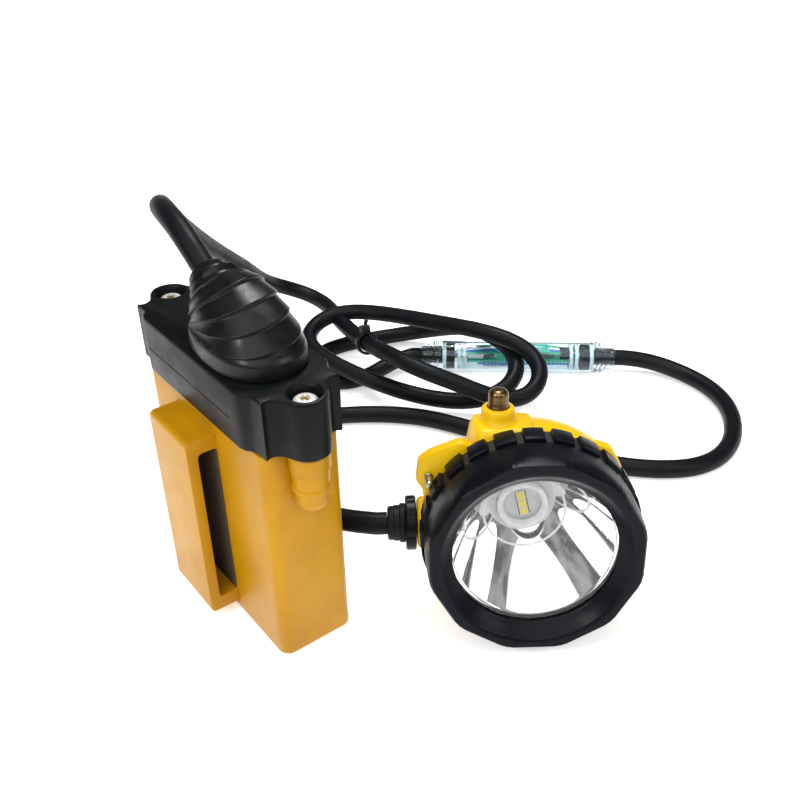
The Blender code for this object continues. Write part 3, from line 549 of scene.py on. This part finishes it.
def smooth_line(points, step, per_span=24):
    """A centripetal Catmull-Rom curve through the points, read again at equal steps."""
    knots = [Vector(p) for p in points]
    knots = [2 * knots[0] - knots[1], *knots, 2 * knots[-1] - knots[-2]]
    fine = []
    for a, b, c, d in zip(knots, knots[1:], knots[2:], knots[3:]):
        t1 = (b - a).length ** 0.5
        t2 = t1 + (c - b).length ** 0.5
        t3 = t2 + (d - c).length ** 0.5
        for i in range(per_span):
            t = t1 + (t2 - t1) * i / per_span
            ab, bc, cd = a.lerp(b, t / t1), b.lerp(c, (t - t1) / (t2 - t1)), c.lerp(d, (t - t2) / (t3 - t2))
            abc, bcd = ab.lerp(bc, t / t2), bc.lerp(cd, (t - t1) / (t3 - t1))
            fine.append(abc.lerp(bcd, (t - t1) / (t2 - t1)))
    fine.append(knots[-2])
    line = np.array([tuple(p) for p in fine])
    for _ in range(6):
        line[1:-1] = 0.5 * line[1:-1] + 0.25 * (line[:-2] + line[2:])
    along = np.concatenate([[0], np.cumsum(np.linalg.norm(np.diff(line, axis=0), axis=1))])
    at = np.linspace(0, along[-1], max(2, round(along[-1] / step) + 1))
    even = np.stack([np.interp(at, along, line[:, k]) for k in range(3)], axis=1)
    for _ in range(18):
        even[3:-3] = 0.5 * even[3:-3] + 0.25 * (even[2:-4] + even[4:-2])
    return even


def tube_rings(line, radius, sides):
    """Rings round a line, with no twist between one and the next."""
    ahead = np.gradient(line, axis=0)
    ahead /= np.linalg.norm(ahead, axis=1)[:, None]
    side = np.cross(ahead[0], (0, 0, 1) if abs(ahead[0][2]) < 0.9 else (1, 0, 0))
    rings = []
    for point, direction in zip(line, ahead):
        side = side - direction * np.dot(side, direction)
        side /= np.linalg.norm(side)
        other = np.cross(direction, side)
        angles = np.arange(sides) * 2 * np.pi / sides
        rings.append(point + radius * (np.cos(angles)[:, None] * side + np.sin(angles)[:, None] * other))
    return rings


def tube(name, line, radius, material, at=None, sides=24):
    return skin(name, tube_rings(np.array(line, float), radius, sides), material, at)


def smooth_step(x):
    x = min(1.0, max(0.0, x))
    return x * x * (3 - 2 * x)


# Battery pack


def battery_case():
    width, depth, height = CASE
    levels = [
        (0, 1.5), (0.25, 0.75), (0.8, 0.2), (1.6, 0), (height - 0.7, 0), (height - 0.15, 0.2),
        (height, 0.6),
    ]
    case = stack("case_shell", rounded_rectangle(width, depth, CASE_CORNER), levels, YELLOW)
    for side in (-1, 1):
        steps = [
            (0, 70.4), (3.4, 70.4), (4.8, 71.0), (5.6, 72.2), (6.1, 74.2), (6.3, 77.6), (6.5, 78.0),
            (6.9, 78.3), (7.0, 79.6), (6.8, 80.0), (6.6, 80.3), (6.7, 84.4), (6.8, 86.2), (7.2, 86.6),
            (7.4, 87.2), (7.4, height - 0.6), (7.0, height - 0.05), (0, height - 0.05),
        ]
        at = Matrix.Translation((side * BOSS_X, 0, 0))
        combine(case, turned("boss", steps, None, at, 48), "UNION")
    room = rounded_rectangle(width - 2 * CASE_WALL, depth - 2 * CASE_WALL, CASE_CORNER - CASE_WALL)
    combine(case, prism("room", room, CASE_WALL, height + 5))
    for side in (-1, 1):
        combine(case, prism("insert_hole", circle((side * LOBE_X, 0), 2.9), height - 12, height + 1))
    keep(case, PACK, "case_yellow", "battery_case")


def belt_loop():
    """A bridge with rounded edges, whose legs flare where they meet the case."""
    root, out, wall = -15.7, -28.0, -23.7
    low, high, slot_low, slot_high = 4.5, 86.4, 10.7, 80.2
    outside = rounded([(root, low), (out, low), (out, high), (root, high)], 2.6, 6)
    slot = rounded([(root, slot_high), (wall, slot_high), (wall, slot_low), (root, slot_low)], 2.2, 6)
    profile = [(root, low - 1.2), (root - 0.5, low - 0.4), (root - 1.5, low)]
    profile += [p for p in outside if p[0] < root - 3]
    profile += [(root - 1.5, high), (root - 0.5, high + 0.4), (root, high + 1.2)]
    profile += [(root, slot_high - 1.2), (root - 0.5, slot_high - 0.4), (root - 1.5, slot_high)]
    profile += [p for p in slot if p[0] < root - 3]
    profile += [(root - 1.5, slot_low), (root - 0.5, slot_low + 0.4), (root, slot_low + 1.2)]
    loop = prism("loop_bridge", profile, -20, 10, YELLOW, ALONG_X)
    keep(soften(loop, 2.0, 5, 60), PACK, "case_yellow", "belt_loop", degrees=40)
    # Painted shade: a dark sheet on the case behind the belt, standing in for the shadow inside the slot
    size, centre = (29.4, 0.9, slot_high - slot_low - 1), (-5, root - 0.3, (slot_high + slot_low) / 2)
    pad = box("belt_slot_painted_shade", size, centre, PAINTED_SHADE_PAD)
    keep(soften(pad, 0.3, 2), PACK, "black_rubber")


def cover_outline():
    """Pointed corners, a scallop and a lobe at each end, and swollen flanks."""
    reach, half, tip_x, tip_y = 18.4, 37, 47.3, 15.2
    quarter = [
        (0, reach), (half - 2.4, reach), (half + 0.4, reach - 0.9), (half + 2.2, tip_y + 0.7),
        (half + 4.4, tip_y + 0.15), (tip_x, tip_y),
    ]
    quarter += [(46.6, 13.8), (46.4, 12.6), (46.7, 11.4), (47.5, 10.2), (48.6, 9.3), (50.2, 8.5)]
    quarter += arc((LOBE_X, 0), LOBE_RADIUS, 74, 0, 14)
    right = quarter + [(x, -y) for x, y in quarter[-2::-1]]
    return right + [(-x, y) for x, y in right[-2:0:-1]]


def battery_cover():
    levels = [
        (COVER_LOW, 0.7), (COVER_LOW + 0.4, 0.15), (COVER_LOW + 1, 0), (COVER_TOP - 1.5, 0),
        (COVER_TOP - 0.55, 0.18), (COVER_TOP - 0.15, 0.5), (COVER_TOP, 1.0),
    ]
    cover = stack("cover_shell", cover_outline(), levels, COVER)
    combine(cover, prism("room", rounded_rectangle(80, 25, 4), COVER_LOW - 1, COVER_TOP - 3))
    combine(cover, prism("groove", rounded_rectangle(88, 29.6, 5), COVER_LOW - 1, COVER_LOW + 2.1))
    combine(cover, prism("cable_hole", circle((BOOT_X, 0), 6), COVER_LOW, COVER_TOP + 1))
    for side in (-1, 1):
        at = Matrix.Translation((side * LOBE_X, 0, COVER_TOP))
        bore = [
            (0, -30), (1.9, -30), (1.9, -5.5), (5.6, -5.5), (5.6, -0.9), (5.9, -0.35), (6.5, 0.05),
            (6.5, 2), (0, 2),
        ]
        combine(cover, turned("bore", bore, None, at, 48))
    # The seam of the flank on the belt loop's side
    combine(cover, box("seam", (63, 1.2, 0.45), (-1.5, -18.4, 104.2)))
    keep(cover, PACK, "cover_black", "battery_cover", degrees=28)


def cover_screws():
    """Button heads with a hexagon socket and a brass pin in its centre."""
    for side, name in ((-1, "left"), (1, "right")):
        at = Matrix.Translation((side * LOBE_X, 0, COVER_TOP - 5.2))
        profile = [
            (0, 3), (2.9, 3), (3.5, 2.85), (4.2, 2.3), (4.6, 1.4), (4.7, 0.5), (4.6, 0), (1.6, 0),
            (1.6, -20.4), (1.1, -21), (0, -21),
        ]
        screw = turned(f"screw_{name}", profile, BRIGHT, at, 48)
        combine(screw, prism("socket", circle((0, 0), 2.0, 6), 1.0, 4, None, at))
        keep(screw, PACK, "bright_steel", f"cover_screw_{name}")
        pin = [(0, 2.75), (0.9, 2.7), (1.15, 2.45), (1.2, 1.0), (0, 1.0)]
        keep(turned(f"screw_pin_{name}", pin, BRASS, at, 24), PACK, "brass")


def boot_section(s):
    """The boot's section at s, from 0 at its foot to 1 at its shoulder: centre, tilt, half sizes, power."""
    keys = np.array([
        (0.00, BOOT_X, 117.0, 0, 25.9, 16.8, 2.5), (0.18, BOOT_X, 122.6, 0, 25.7, 16.7, 2.5),
        (0.27, 12.3, 124.7, 2, 24.4, 16.1, 2.45), (0.40, 10.6, 127.0, 8, 22.1, 15.6, 2.4),
        (0.55, 8.0, 129.1, 18, 19.8, 15.2, 2.3), (0.70, 5.0, 130.9, 31, 17.1, 14.9, 2.2),
        (0.84, 1.6, 132.2, 45, 14.9, 14.4, 2.05), (0.94, -0.8, 132.8, 55, 13.6, 13.6, 2.0),
        (1.00, -2.2, 133.0, 60, 12.8, 12.8, 2.0),
    ])
    return [float(np.interp(s, keys[:, 0], keys[:, k])) for k in range(1, 7)]


def boot_ring(x, z, tilt, half_x, half_y, power, count=128, swell=None):
    lean = math.radians(tilt)
    ring = []
    for i in range(count):
        a = 2 * math.pi * i / count
        grow = swell(a) if swell else 0
        u = (half_x + grow) * math.copysign(abs(math.cos(a)) ** (2 / power), math.cos(a))
        v = (half_y + grow) * math.copysign(abs(math.sin(a)) ** (2 / power), math.sin(a))
        ring.append((x + math.cos(lean) * u, v, z + math.sin(lean) * u))
    return ring


def boot_swell(s, a):
    """Overlapping bands down the dome: each swells from under the one above to a lip at its lower edge."""
    phase = (1 - s) / 0.78 * BOOT_BANDS + 0.06 * math.sin(2 * a + 0.6) + 0.20 * math.sin(a - 0.5)
    part = phase % 1.0
    lip = 0.84
    rise = (part / lip) ** 1.8 if part < lip else 1 - smooth_step((part - lip) / (1 - lip))
    fade = smooth_step((s - 0.20) / 0.06) * smooth_step((1.0 - s) / 0.05)
    outer_side = 0.25 + 0.75 * smooth_step(0.5 + 0.6 * math.cos(a + 0.35))
    crease = 0.10 * math.sin(7 * a + 5 * s) * math.sin(11 * s)
    return (BOOT_LIP * rise - 0.3 + crease) * fade * outer_side


def strain_relief_boot():
    rings = [boot_ring(BOOT_X, 117.0, 0, 25.2, 16.1, 2.5), boot_ring(BOOT_X, 117.4, 0, 25.9, 16.8, 2.5)]
    steps = 180
    for i in range(4, steps + 1):
        s = i / steps
        rings.append(boot_ring(*boot_section(s), swell=lambda a, s=s: boot_swell(s, a)))
    along = Vector((-math.sin(BOOT_LEAN), 0, math.cos(BOOT_LEAN)))
    base = BOOT_MOUTH - along * 11.4
    collar = [
        (0.6, 12.3), (1.0, 11.4), (1.3, 10.7), (2.0, 10.5), (4.4, 10.3), (5.0, 10.0), (5.3, 9.3), (5.6, 9.0),
        (7.6, 8.8), (8.3, 8.6), (8.6, 8.0), (8.9, 7.7), (10.8, 7.4), (11.2, 7.1), (11.4, 6.5), (11.4, 4.8),
    ]
    for distance, radius in collar:
        centre = base + along * distance
        rings.append(boot_ring(centre.x, centre.z, BOOT_LEAN_DEGREES, radius, radius, 2))
    boot = skin("boot_skin", rings, BOOT)
    stem = prism("stem", circle((BOOT_X, 0), 5.6), 112.7, 118)
    combine(boot, stem, "UNION")
    keep(boot, PACK, "black_rubber", "strain_relief_boot", degrees=50)
    # The torn lip that stands up beside the collar
    flat = Vector((math.cos(BOOT_LEAN), 0, math.sin(BOOT_LEAN)))
    centre = base + along * 4.4
    rings = []
    for i in range(13):
        a = math.radians(-38 + 7 * i)
        rise = 1.7 * math.sin(math.pi * i / 12) ** 0.6 * (0.75 + 0.25 * math.sin(2.3 * i))
        out = flat * math.cos(a) + Vector((0, 1, 0)) * math.sin(a)
        near, far = centre + out * 9.6, centre + out * 10.5
        top = along * rise
        rings.append([near - along, far - along, far + out * 0.5 + top, near + out * 0.9 + top])
    keep(skin("boot_lip", rings, BOOT), PACK, "black_rubber", degrees=50)


# Cables and the inline module


def cable_line(start, leaving, route, end, arriving):
    middle = [Vector(p) for p in route]
    points = [start, start + leaving * CABLE_END, *middle, end - arriving * CABLE_END, end]
    return smooth_line(points, CABLE_STEP)


def cables():
    leaving = Vector((-math.sin(BOOT_LEAN), 0, math.cos(BOOT_LEAN)))
    reach = MODULE_HALF + CAP_LENGTH + 0.6
    start = BOOT_MOUTH + leaving * 0.1
    module_end = MODULE_FRONT - MODULE_AXIS * reach
    line = cable_line(start, leaving, BATTERY_SIDE_ROUTE, module_end, MODULE_AXIS)
    first = tube("battery_side_cable", line, CABLE_DIAMETER / 2, CABLE)
    keep(first, PACK, "black_rubber", "cable_battery_side")
    gland = HEAD @ Vector((GLAND_END - 0.1, GLAND_Y, GLAND_Z))
    into = HEAD.to_3x3() @ Vector((1, 0, 0))
    line = cable_line(MODULE_FRONT + MODULE_AXIS * reach, MODULE_AXIS, LAMP_SIDE_ROUTE, gland, into)
    second = tube("lamp_side_cable", line, CABLE_DIAMETER / 2, CABLE)
    settle(second)
    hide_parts("cable_lamp_side")
    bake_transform(second)


def inline_module():
    """A clear tube with a board, coloured leads and grommets inside, and a ringed clear cap at each end."""
    wall = 1.3
    outer, bore, half = MODULE_RADIUS, MODULE_RADIUS - wall, MODULE_HALF
    profile = [
        (bore, -half), (outer - 0.3, -half), (outer, 0.3 - half), (outer, half - 0.3),
        (outer - 0.3, half), (bore, half),
    ]
    keep(turned("module_sleeve", profile, MODULE_CLEAR, MODULE_FRAME), PACK, "module_clear", "module_tube")
    for side, name in ((-1, "left"), (1, "right")):
        base = half + 0.3
        shape = [
            (4.6, base + 0.8), (8.6, base), (9, base + 0.4), (9, base + 2.3), (8.3, base + 2.7),
            (8.3, base + 3.2),
            (8.8, base + 3.5), (8.8, base + 4.4), (7.9, base + 5.2), (7.2, base + 5.5), (7.2, base + 7.2),
            (6.7, base + 7.6), (6.7, base + 8.2), (7.0, base + 8.5), (6.9, base + 10.2), (6.2, base + 11.6),
            (5.5, base + CAP_LENGTH), (4.6, base + CAP_LENGTH),
        ]
        at = MODULE_FRAME @ Matrix.Scale(side, 4, (0, 0, 1))
        end = turned(f"module_end_{name}", shape, MODULE_CLEAR, at)
        keep(end, PACK, "module_clear", f"module_cap_{name}")
        line = [(0, 0, half - 2), (0, 0, half + CAP_LENGTH + 0.9)]
        core = tube(f"module_core_{name}", line, CABLE_DIAMETER / 2, CABLE, at)
        keep(core, PACK, "black_rubber")
        for number, (place, reach) in enumerate(((-1.2, 7.6), (-9.5, 7.5), (-12.6, 7.5)), 1):
            z = half + place
            ring = [(reach - 1.6, z - 0.9), (reach, z - 0.9), (reach, z + 0.9), (reach - 1.6, z + 0.9)]
            keep(turned(f"module_ring_{name}_{number}", ring, FROSTED, at), PACK, "led_white")
    for number, z in enumerate((-17, 0, 17), 1):
        chip = soften(box(f"module_part_{number}", (5, 2.2, 8), (0, 2.2, z), BLACK, MODULE_FRAME), 0.3, 2)
        keep(chip, PACK, "cover_black", f"module_chip_{number}")
    for name, size, place, finish, slot in MODULE_PIECES:
        piece = soften(box(f"module_{name}", size, place, finish, MODULE_FRAME), 0.2, 2)
        keep(piece, PACK, slot)
    leads = ((-4.2, GREEN_WIRE), (-1.8, BLUE_WIRE), (0.8, WHITE), (3.4, GREEN_WIRE))
    for number, (x, finish) in enumerate(leads, 1):
        points = [
            (x * 0.5, 0.5, -37), (x, 3.2, -31), (x, 4.6, -22), (x * 1.1, 5.3, 2), (x, 4.4, 24),
            (x * 0.5, 1, 37),
        ]
        line = smooth_line(points, 1.5)
        keep(tube(f"module_lead_{number}", line, 0.85, finish, MODULE_FRAME, 12), PACK, "lead_black")


def cable_tie():
    """A strap round the loops, with its ratchet head and cut tail."""
    at = frame_facing(TIE_POINT, TIE_DIRECTION)
    strap = [(5.0, -1.9), (6.5, -1.9), (6.5, 1.9), (5.0, 1.9)]
    ring = soften(turned("tie_strap", strap, BLACK, at, 48), 0.2, 2)
    keep(ring, PACK, "cover_black", "cable_tie")
    head = soften(box("tie_head", (5, 4.4, 5.4), (0, 8, 0), BLACK, at), 0.5, 3)
    combine(head, box("slot", (1.6, 5, 2.8), (0.6, 8, 0), None, at))
    keep(head, PACK, "cover_black")
    line = [(0.6, 8.4, 0), (1.0, 11.4, 0.2), (1.8, 13, 0.5)]
    keep(tube("tie_tail", line, 1.1, BLACK, at, 10), PACK, "cover_black")


# Headpiece


def housing():
    shell = [
        (0, -58.8), (6, -58.7), (12, -58.2), (18, -57.1), (24, -55.2), (29, -52.5), (33, -49.2),
        (36, -45.7), (38.3, -41.6), (39.6, -38), (40.1, -34.5), (39.9, -31.5), (39.2, -29.8),
        (38.1, -29.0), (38.1, -13.6), (35.6, -13.6), (35.6, -30), (36.4, -35), (35.8, -40),
        (32.4, -45), (26.8, -50), (18.5, -53.6), (10, -55.6), (0, -56),
    ]
    body = turned("lamp_body", shell, LAMP_YELLOW, HEAD, 128)
    plate = [
        (-22, 33), (-25.8, 36.4), (-37.4, 32), (-42.2, 28.8), (-43.2, 19.8), (-40.6, 16.2), (-39.6, 4),
        (-38, -9), (-33, -20), (-22, -31), (0, -38), (22, -31), (33, -20), (38, -8), (39.4, 6), (37.6, 17),
        (33.4, 26.6), (30.4, 31.8), (22.6, 34.2), (0, 39),
    ]
    levels = [(-32.2, 1.4), (-31.6, 0.4), (-30.8, 0), (-27.6, 0), (-26.8, 0.35), (-26.4, 1.1)]
    flange = stack("plate", rounded(plate, 4.2, 8), levels, None, HEAD)
    combine(flange, prism("plate_hole", circle((0, 0), 37, 96), -40, -20, None, HEAD))
    settle(flange)
    combine(body, flange, "UNION")
    collar = [
        (0, 30), (11, 34), (9.4, 38.2), (8.3, 40.2), (7.3, 41.2), (6.6, 41.9), (6.4, 43), (6.5, 44.4),
        (6.2, 45.5), (5.7, 46.2), (5.2, 46.4), (0, 46.4),
    ]
    combine(body, turned("collar", collar, None, BUTTON_FRAME, 56), "UNION")
    saddle = rounded([(-13, -7), (9.5, -7), (9.8, 3), (8, 10), (-12, 10), (-14, 2)], 3, 6)
    levels = [(30, -2.2), (37.4, -0.8), (39.2, 0), (40.2, 0.6), (40.7, 1.8)]
    saddle = stack("saddle", saddle, levels, None, BUTTON_FRAME)
    combine(body, saddle, "UNION")
    boss = [(0, 30), (10.6, 30), (10.3, 41.2), (9.8, 42.2), (9, 42.6), (0, 42.6)]
    combine(body, turned("gland_boss", boss, None, GLAND_FRAME, 56), "UNION")
    well = [(0, 30), (3.1, 30), (3.1, 37.4), (4.4, 37.4), (4.4, 49), (0, 49)]
    combine(body, turned("well", well, None, BUTTON_FRAME, 40))
    combine(body, prism("wire_way", circle((0, 0), 5), 28, 50, None, GLAND_FRAME))
    combine(body, prism("stud_hole", circle(STUD, 1.2, 20), -34, -20, None, HEAD))
    keep(body, HEADPIECE, "case_yellow", "lamp_housing", degrees=38)


def bezel_radius(r, z, a):
    """Soft flats on the lip, and grip blocks round the back ring."""
    if z > -7 and r > 35:
        half = math.pi / FLATS
        from_middle = abs((a + half) % (2 * half) - half)
        flat = math.cos(half) / math.cos(from_middle)
        corner = smooth_step((from_middle / half - 0.72) / 0.28)
        flat = flat * (1 - 0.010 * corner)
        share = smooth_step((z + 7) / 5.0) * smooth_step((r - 36) / 2)
        return r * (1 + share * (flat - 0.978))
    if r > BLOCK_ROOT and z < -16.5:
        pitch = 2 * math.pi / BLOCKS
        from_middle = abs((a + pitch / 2) % pitch - pitch / 2) / (pitch / 2)
        block = 1 - smooth_step((from_middle - 0.70) / 0.05)
        return BLOCK_ROOT + (r - BLOCK_ROOT) * block
    return r


def bezel_ring():
    profile = [
        (38.9, 0), (39.5, -0.5), (39.9, -1.4), (40.3, -3), (40.6, -5), (40.7, -7), (40.75, -11),
        (40.8, -15.2), (40.75, -15.8), (40.4, -16.3), (40.3, -16.9), (41.6, -17.0), (42.0, -17.3),
        (42.2, -17.9), (42.2, -25.0), (42.0, -25.6), (41.5, -25.8), (40.2, -25.8), (38.4, -25.8),
        (38.4, -13), (35.3, -13), (35.3, -6.3),
        (30.8, -6.3), (30.8, -5.6), (31.1, -5.2), (31.6, -4.9), (34.5, -1.6), (35.0, -0.9), (35.7, -0.3),
        (36.5, -0.05), (37.6, 0),
    ]
    ring = turned("bezel", profile, BEZEL, HEAD, BLOCKS * 30, bezel_radius)
    keep(ring, HEADPIECE, "bezel_black", "bezel_ring", degrees=28)
    # The floors of the gaps between the blocks are duller
    pitch = 2 * math.pi / BLOCKS
    for number in range(BLOCKS):
        middle = (number + 0.5) * pitch
        sweep = [middle + pitch * 0.14 * (k / 4 - 1) for k in range(9)]
        rows = [[(r * math.cos(a), r * math.sin(a), z) for a in sweep] for r, z in GAP_FLOOR]
        floor = skin(f"bezel_gap_{number}", rows, GRIP_GAP, HEAD)
        keep(floor, HEADPIECE, "bezel_black", degrees=40)


def optics():
    lens = [(0, -6.6), (34.7, -6.6), (35, -6.9), (35, -8.9), (34.7, -9.2), (0, -9.2)]
    keep(turned("front_lens", lens, LENS, HEAD, 96), HEADPIECE, "lens_clear", "lens")
    front, back, mouth, throat = -11.6, REFLECTOR_BACK, 30.8, 10.6
    bowl = []
    for i in range(61):
        radius = mouth + (throat - mouth) * i / 60
        rise = (radius**2 - throat**2) / (mouth**2 - throat**2)
        bowl.append((radius, back + (front - back) * rise))
    outer = [(r + 1.4, z - 0.8) for r, z in bowl[-5::-7]]
    low, high = front - 1.5, front + 0.6
    profile = [*bowl, (throat, back - 0.3), (throat + 1.6, back - 0.3), *outer]
    profile += [(mouth + 1.6, low), (35, low), (35, high), (mouth + 0.6, high), (mouth, high - 0.3)]
    bowl = turned("reflector_bowl", profile, MIRROR, HEAD, 192)
    keep(bowl, HEADPIECE, "reflector_mirror", "reflector", degrees=40)
    # The thin ring a third of the way up the bowl
    bead = turned("reflector_bead", circle((16.1, -36.4), 0.38, 10), BRIGHT_WHITE, HEAD, 96)
    keep(bead, HEADPIECE, "reflector_mirror")
    ring = [
        (7.6, 0.2), (10.4, 0.2), (10.3, 1.9), (10.1, 2.3), (9.6, 2.6), (8.9, 2.6), (8.3, 2.2), (7.8, 1.2),
    ]
    collar = turned("led_collar", [(r, back + z) for r, z in ring], BRIGHT_WHITE, HEAD, 96)
    keep(collar, HEADPIECE, "led_white", "led_ring")
    disc = [(0, -0.8), (9.1, -0.8), (9.4, -1.1), (9.4, -2), (0, -2)]
    disc = turned("led_disc", [(r, back + z) for r, z in disc], LED_GREY, HEAD, 64)
    keep(disc, HEADPIECE, "led_white", "led_board")
    for number in (1, 2, 3):
        y = (number - 2) * LED_PITCH
        at = HEAD @ Matrix.Rotation(LED_TURN, 4, "Z") @ Matrix.Translation((0, y, back))
        base = soften(box(f"led_package_{number}", (3.5, 3.5, 0.7), (0, 0, -0.35), CERAMIC, at), 0.15, 2)
        keep(base, HEADPIECE, "led_phosphor", f"led_chip_{number}")
        window = rounded_rectangle(2.8, 2.8, 0.8)
        dome = stack(f"led_dome_{number}", window, [(-0.1, 0), (0.2, 0.1), (0.4, 0.5)], PHOSPHOR, at)
        keep(dome, HEADPIECE, "led_phosphor")
        for side, name in ((-1, "left"), (1, "right")):
            pad = box(f"led_pad_{number}_{name}", (0.35, 3.2, 0.2), (side * 2.0, 0, -0.6), BLACK, at)
            keep(pad, HEADPIECE, "cover_black")


def switch_button():
    cap = [
        (0, 53.4), (2.0, 53.35), (2.7, 53.1), (3.3, 52.6), (3.7, 51.9), (3.85, 51.1), (3.85, 48.2),
        (4.0, 47.8), (4.1, 47.3), (4.1, 46.4), (3.9, 46.1), (2.7, 46), (2.7, 36.2), (2.5, 36), (0, 36),
    ]
    keep(turned("button_cap", cap, BRONZE, BUTTON_FRAME, 64), BUTTON, "button_bronze", "switch_button")


def gland():
    nut = [
        (5.6, 43), (10.2, 43), (10.8, 43.5), (10.8, 46.6), (10.3, 47.2), (8.2, 47.2), (7.9, 47.0),
        (5.6, 47.0),
    ]
    nut = turned("gland_ring", nut, BEZEL, GLAND_FRAME, 64, nut_radius)
    keep(nut, HEADPIECE, "bezel_black", "gland_nut")
    bush = [
        (0, 38), (4.7, 38), (4.7, 47.3), (7.5, 47.3), (7.8, 47.7), (7.8, 49.2), (7.4, 49.6), (7.1, 49.7),
        (7.1, 51.6), (6.8, 52), (6.8, 53.4), (6.4, 54.2), (5.7, 54.4), (0, 54.4),
    ]
    keep(turned("gland_sleeve", bush, SEAL, GLAND_FRAME, 64), HEADPIECE, "black_rubber", "gland_bush")


def nut_radius(r, z, a):
    """Eight shallow grip notches round the nut's rim."""
    return r - 0.5 * max(0.0, math.cos(8 * a)) ** 6 if r > 10 else r


def charging_contact():
    at = HEAD @ Matrix.Translation((*STUD, 0))
    profile = [
        (0, -19.4), (0.8, -19.5), (1.3, -19.9), (1.5, -20.5), (1.5, -25.4), (1.8, -25.6), (1.8, -26.1),
        (0.9, -26.1), (0.9, -32.8), (0, -33),
    ]
    keep(turned("contact_stud", profile, STUD_METAL, at, 40), HEADPIECE, "bright_steel", "charging_contact")


def helmet_hook():
    """A bent steel strip on the back of the housing."""
    back = -59.2
    profile = [
        (10, back), (10, back - 7), (-24, back - 7), (-24, back - 5.5), (8.5, back - 5.5),
        (8.5, back - 1.5), (-6, back - 1.5), (-6, back),
    ]
    hook = prism("hook_strip", profile, -9, 9, STEEL, HEAD @ ALONG_X)
    soften(hook, 0.45, 3, 40)
    keep(hook, HEADPIECE, "bright_steel", "helmet_hook")


# Stage


def softbox(name, place, aim, size, power):
    light = bpy.data.lights.new(name, "AREA")
    light.shape = "RECTANGLE"
    light.size, light.size_y = size
    light.energy = power
    lamp = bpy.data.objects.new(name, light)
    lamp.matrix_world = frame_facing(place, Vector(place) - Vector(aim))
    bpy.context.scene.collection.objects.link(lamp)


def studio():
    far = 6000
    corners = [(-far, -far, 0), (far, -far, 0), (far, far, 0), (-far, far, 0)]
    floor = make("floor", corners, [(0, 1, 2, 3)])
    pale = Paint("floor_pale", (0.96, 0.96, 0.96), 0.9, Emission_Color=(1, 1, 1, 1))
    pale.set("Emission Strength", FLOOR_GLOW)
    floor.data.materials.append(pale.material)
    floor.location.z = -FLOOR_DROP
    # An even light on the floor, softboxes for the highlights, and a cloudy world for the bowl to reflect
    sun = bpy.data.lights.new("sky_dome", "SUN")
    sun.energy = SUN_STRENGTH
    sun.angle = SUN_SPREAD
    lamp = bpy.data.objects.new("sky_dome", sun)
    lamp.matrix_world = frame_facing((0, 0, 1), (0.35, -0.45, 1))
    bpy.context.scene.collection.objects.link(lamp)
    softbox("overhead", (-0.22, 0.3, 0.75), (0, 0.08, 0.05), (0.16, 0.16), 3.6)
    softbox("key", (0.05, -0.7, 0.6), (0, 0, 0.06), (0.16, 0.16), 2.0)
    softbox("side", (0.75, 0.35, 0.5), (0.1, 0.06, 0.04), (0.14, 0.3), 1.6)
    world = bpy.data.worlds.new("studio")
    world.use_nodes = True
    background = world.node_tree.nodes["Background"]
    background.inputs["Color"].default_value = (1, 1, 1, 1)
    place = world.node_tree.nodes.new("ShaderNodeTexCoord").outputs["Generated"]
    clouds = world.node_tree.nodes.new("ShaderNodeTexNoise")
    clouds.inputs["Scale"].default_value = CLOUD_SCALE
    clouds.inputs["Detail"].default_value = 3.0
    level = world.node_tree.nodes.new("ShaderNodeMapRange")
    level.inputs["From Min"].default_value, level.inputs["From Max"].default_value = CLOUD_RANGE
    level.inputs["To Min"].default_value = WORLD_DARKEST
    level.inputs["To Max"].default_value = WORLD_STRENGTH
    world.node_tree.links.new(place, clouds.inputs["Vector"])
    world.node_tree.links.new(clouds.outputs["Fac"], level.inputs["Value"])
    world.node_tree.links.new(level.outputs["Result"], background.inputs["Strength"])
    bpy.context.scene.world = world
    bpy.context.scene.view_settings.view_transform = "Standard"


def camera():
    level = Vector((-math.sin(CAMERA_HEADING), math.cos(CAMERA_HEADING), 0))
    ahead = level * math.cos(CAMERA_DIP) + Vector((0, 0, -math.sin(CAMERA_DIP)))
    right = ahead.cross(Vector((0, 0, 1))).normalized()
    up = right.cross(ahead)
    across = right * math.cos(CAMERA_ROLL) + up * math.sin(CAMERA_ROLL)
    above = up * math.cos(CAMERA_ROLL) - right * math.sin(CAMERA_ROLL)
    lens = bpy.data.cameras.new("camera")
    lens.lens = CAMERA_LENS
    lens.sensor_width = 36
    lens.clip_start = 0.01
    made = bpy.data.objects.new("camera", lens)
    facing = Matrix((across, above, -ahead)).transposed().to_4x4()
    made.matrix_world = Matrix.Translation(CAMERA_PLACE) @ facing
    bpy.context.scene.collection.objects.link(made)
    bpy.context.scene.camera = made


for name, finish in CAD_FINISHES.items():
    nodes[name].data.materials.clear()
    nodes[name].data.materials.append(finish)

camera()
studio()
cables()
battery_case()
belt_loop()
battery_cover()
cover_screws()
strain_relief_boot()
inline_module()
cable_tie()
housing()
bezel_ring()
optics()
switch_button()
gland()
charging_contact()
helmet_hook()
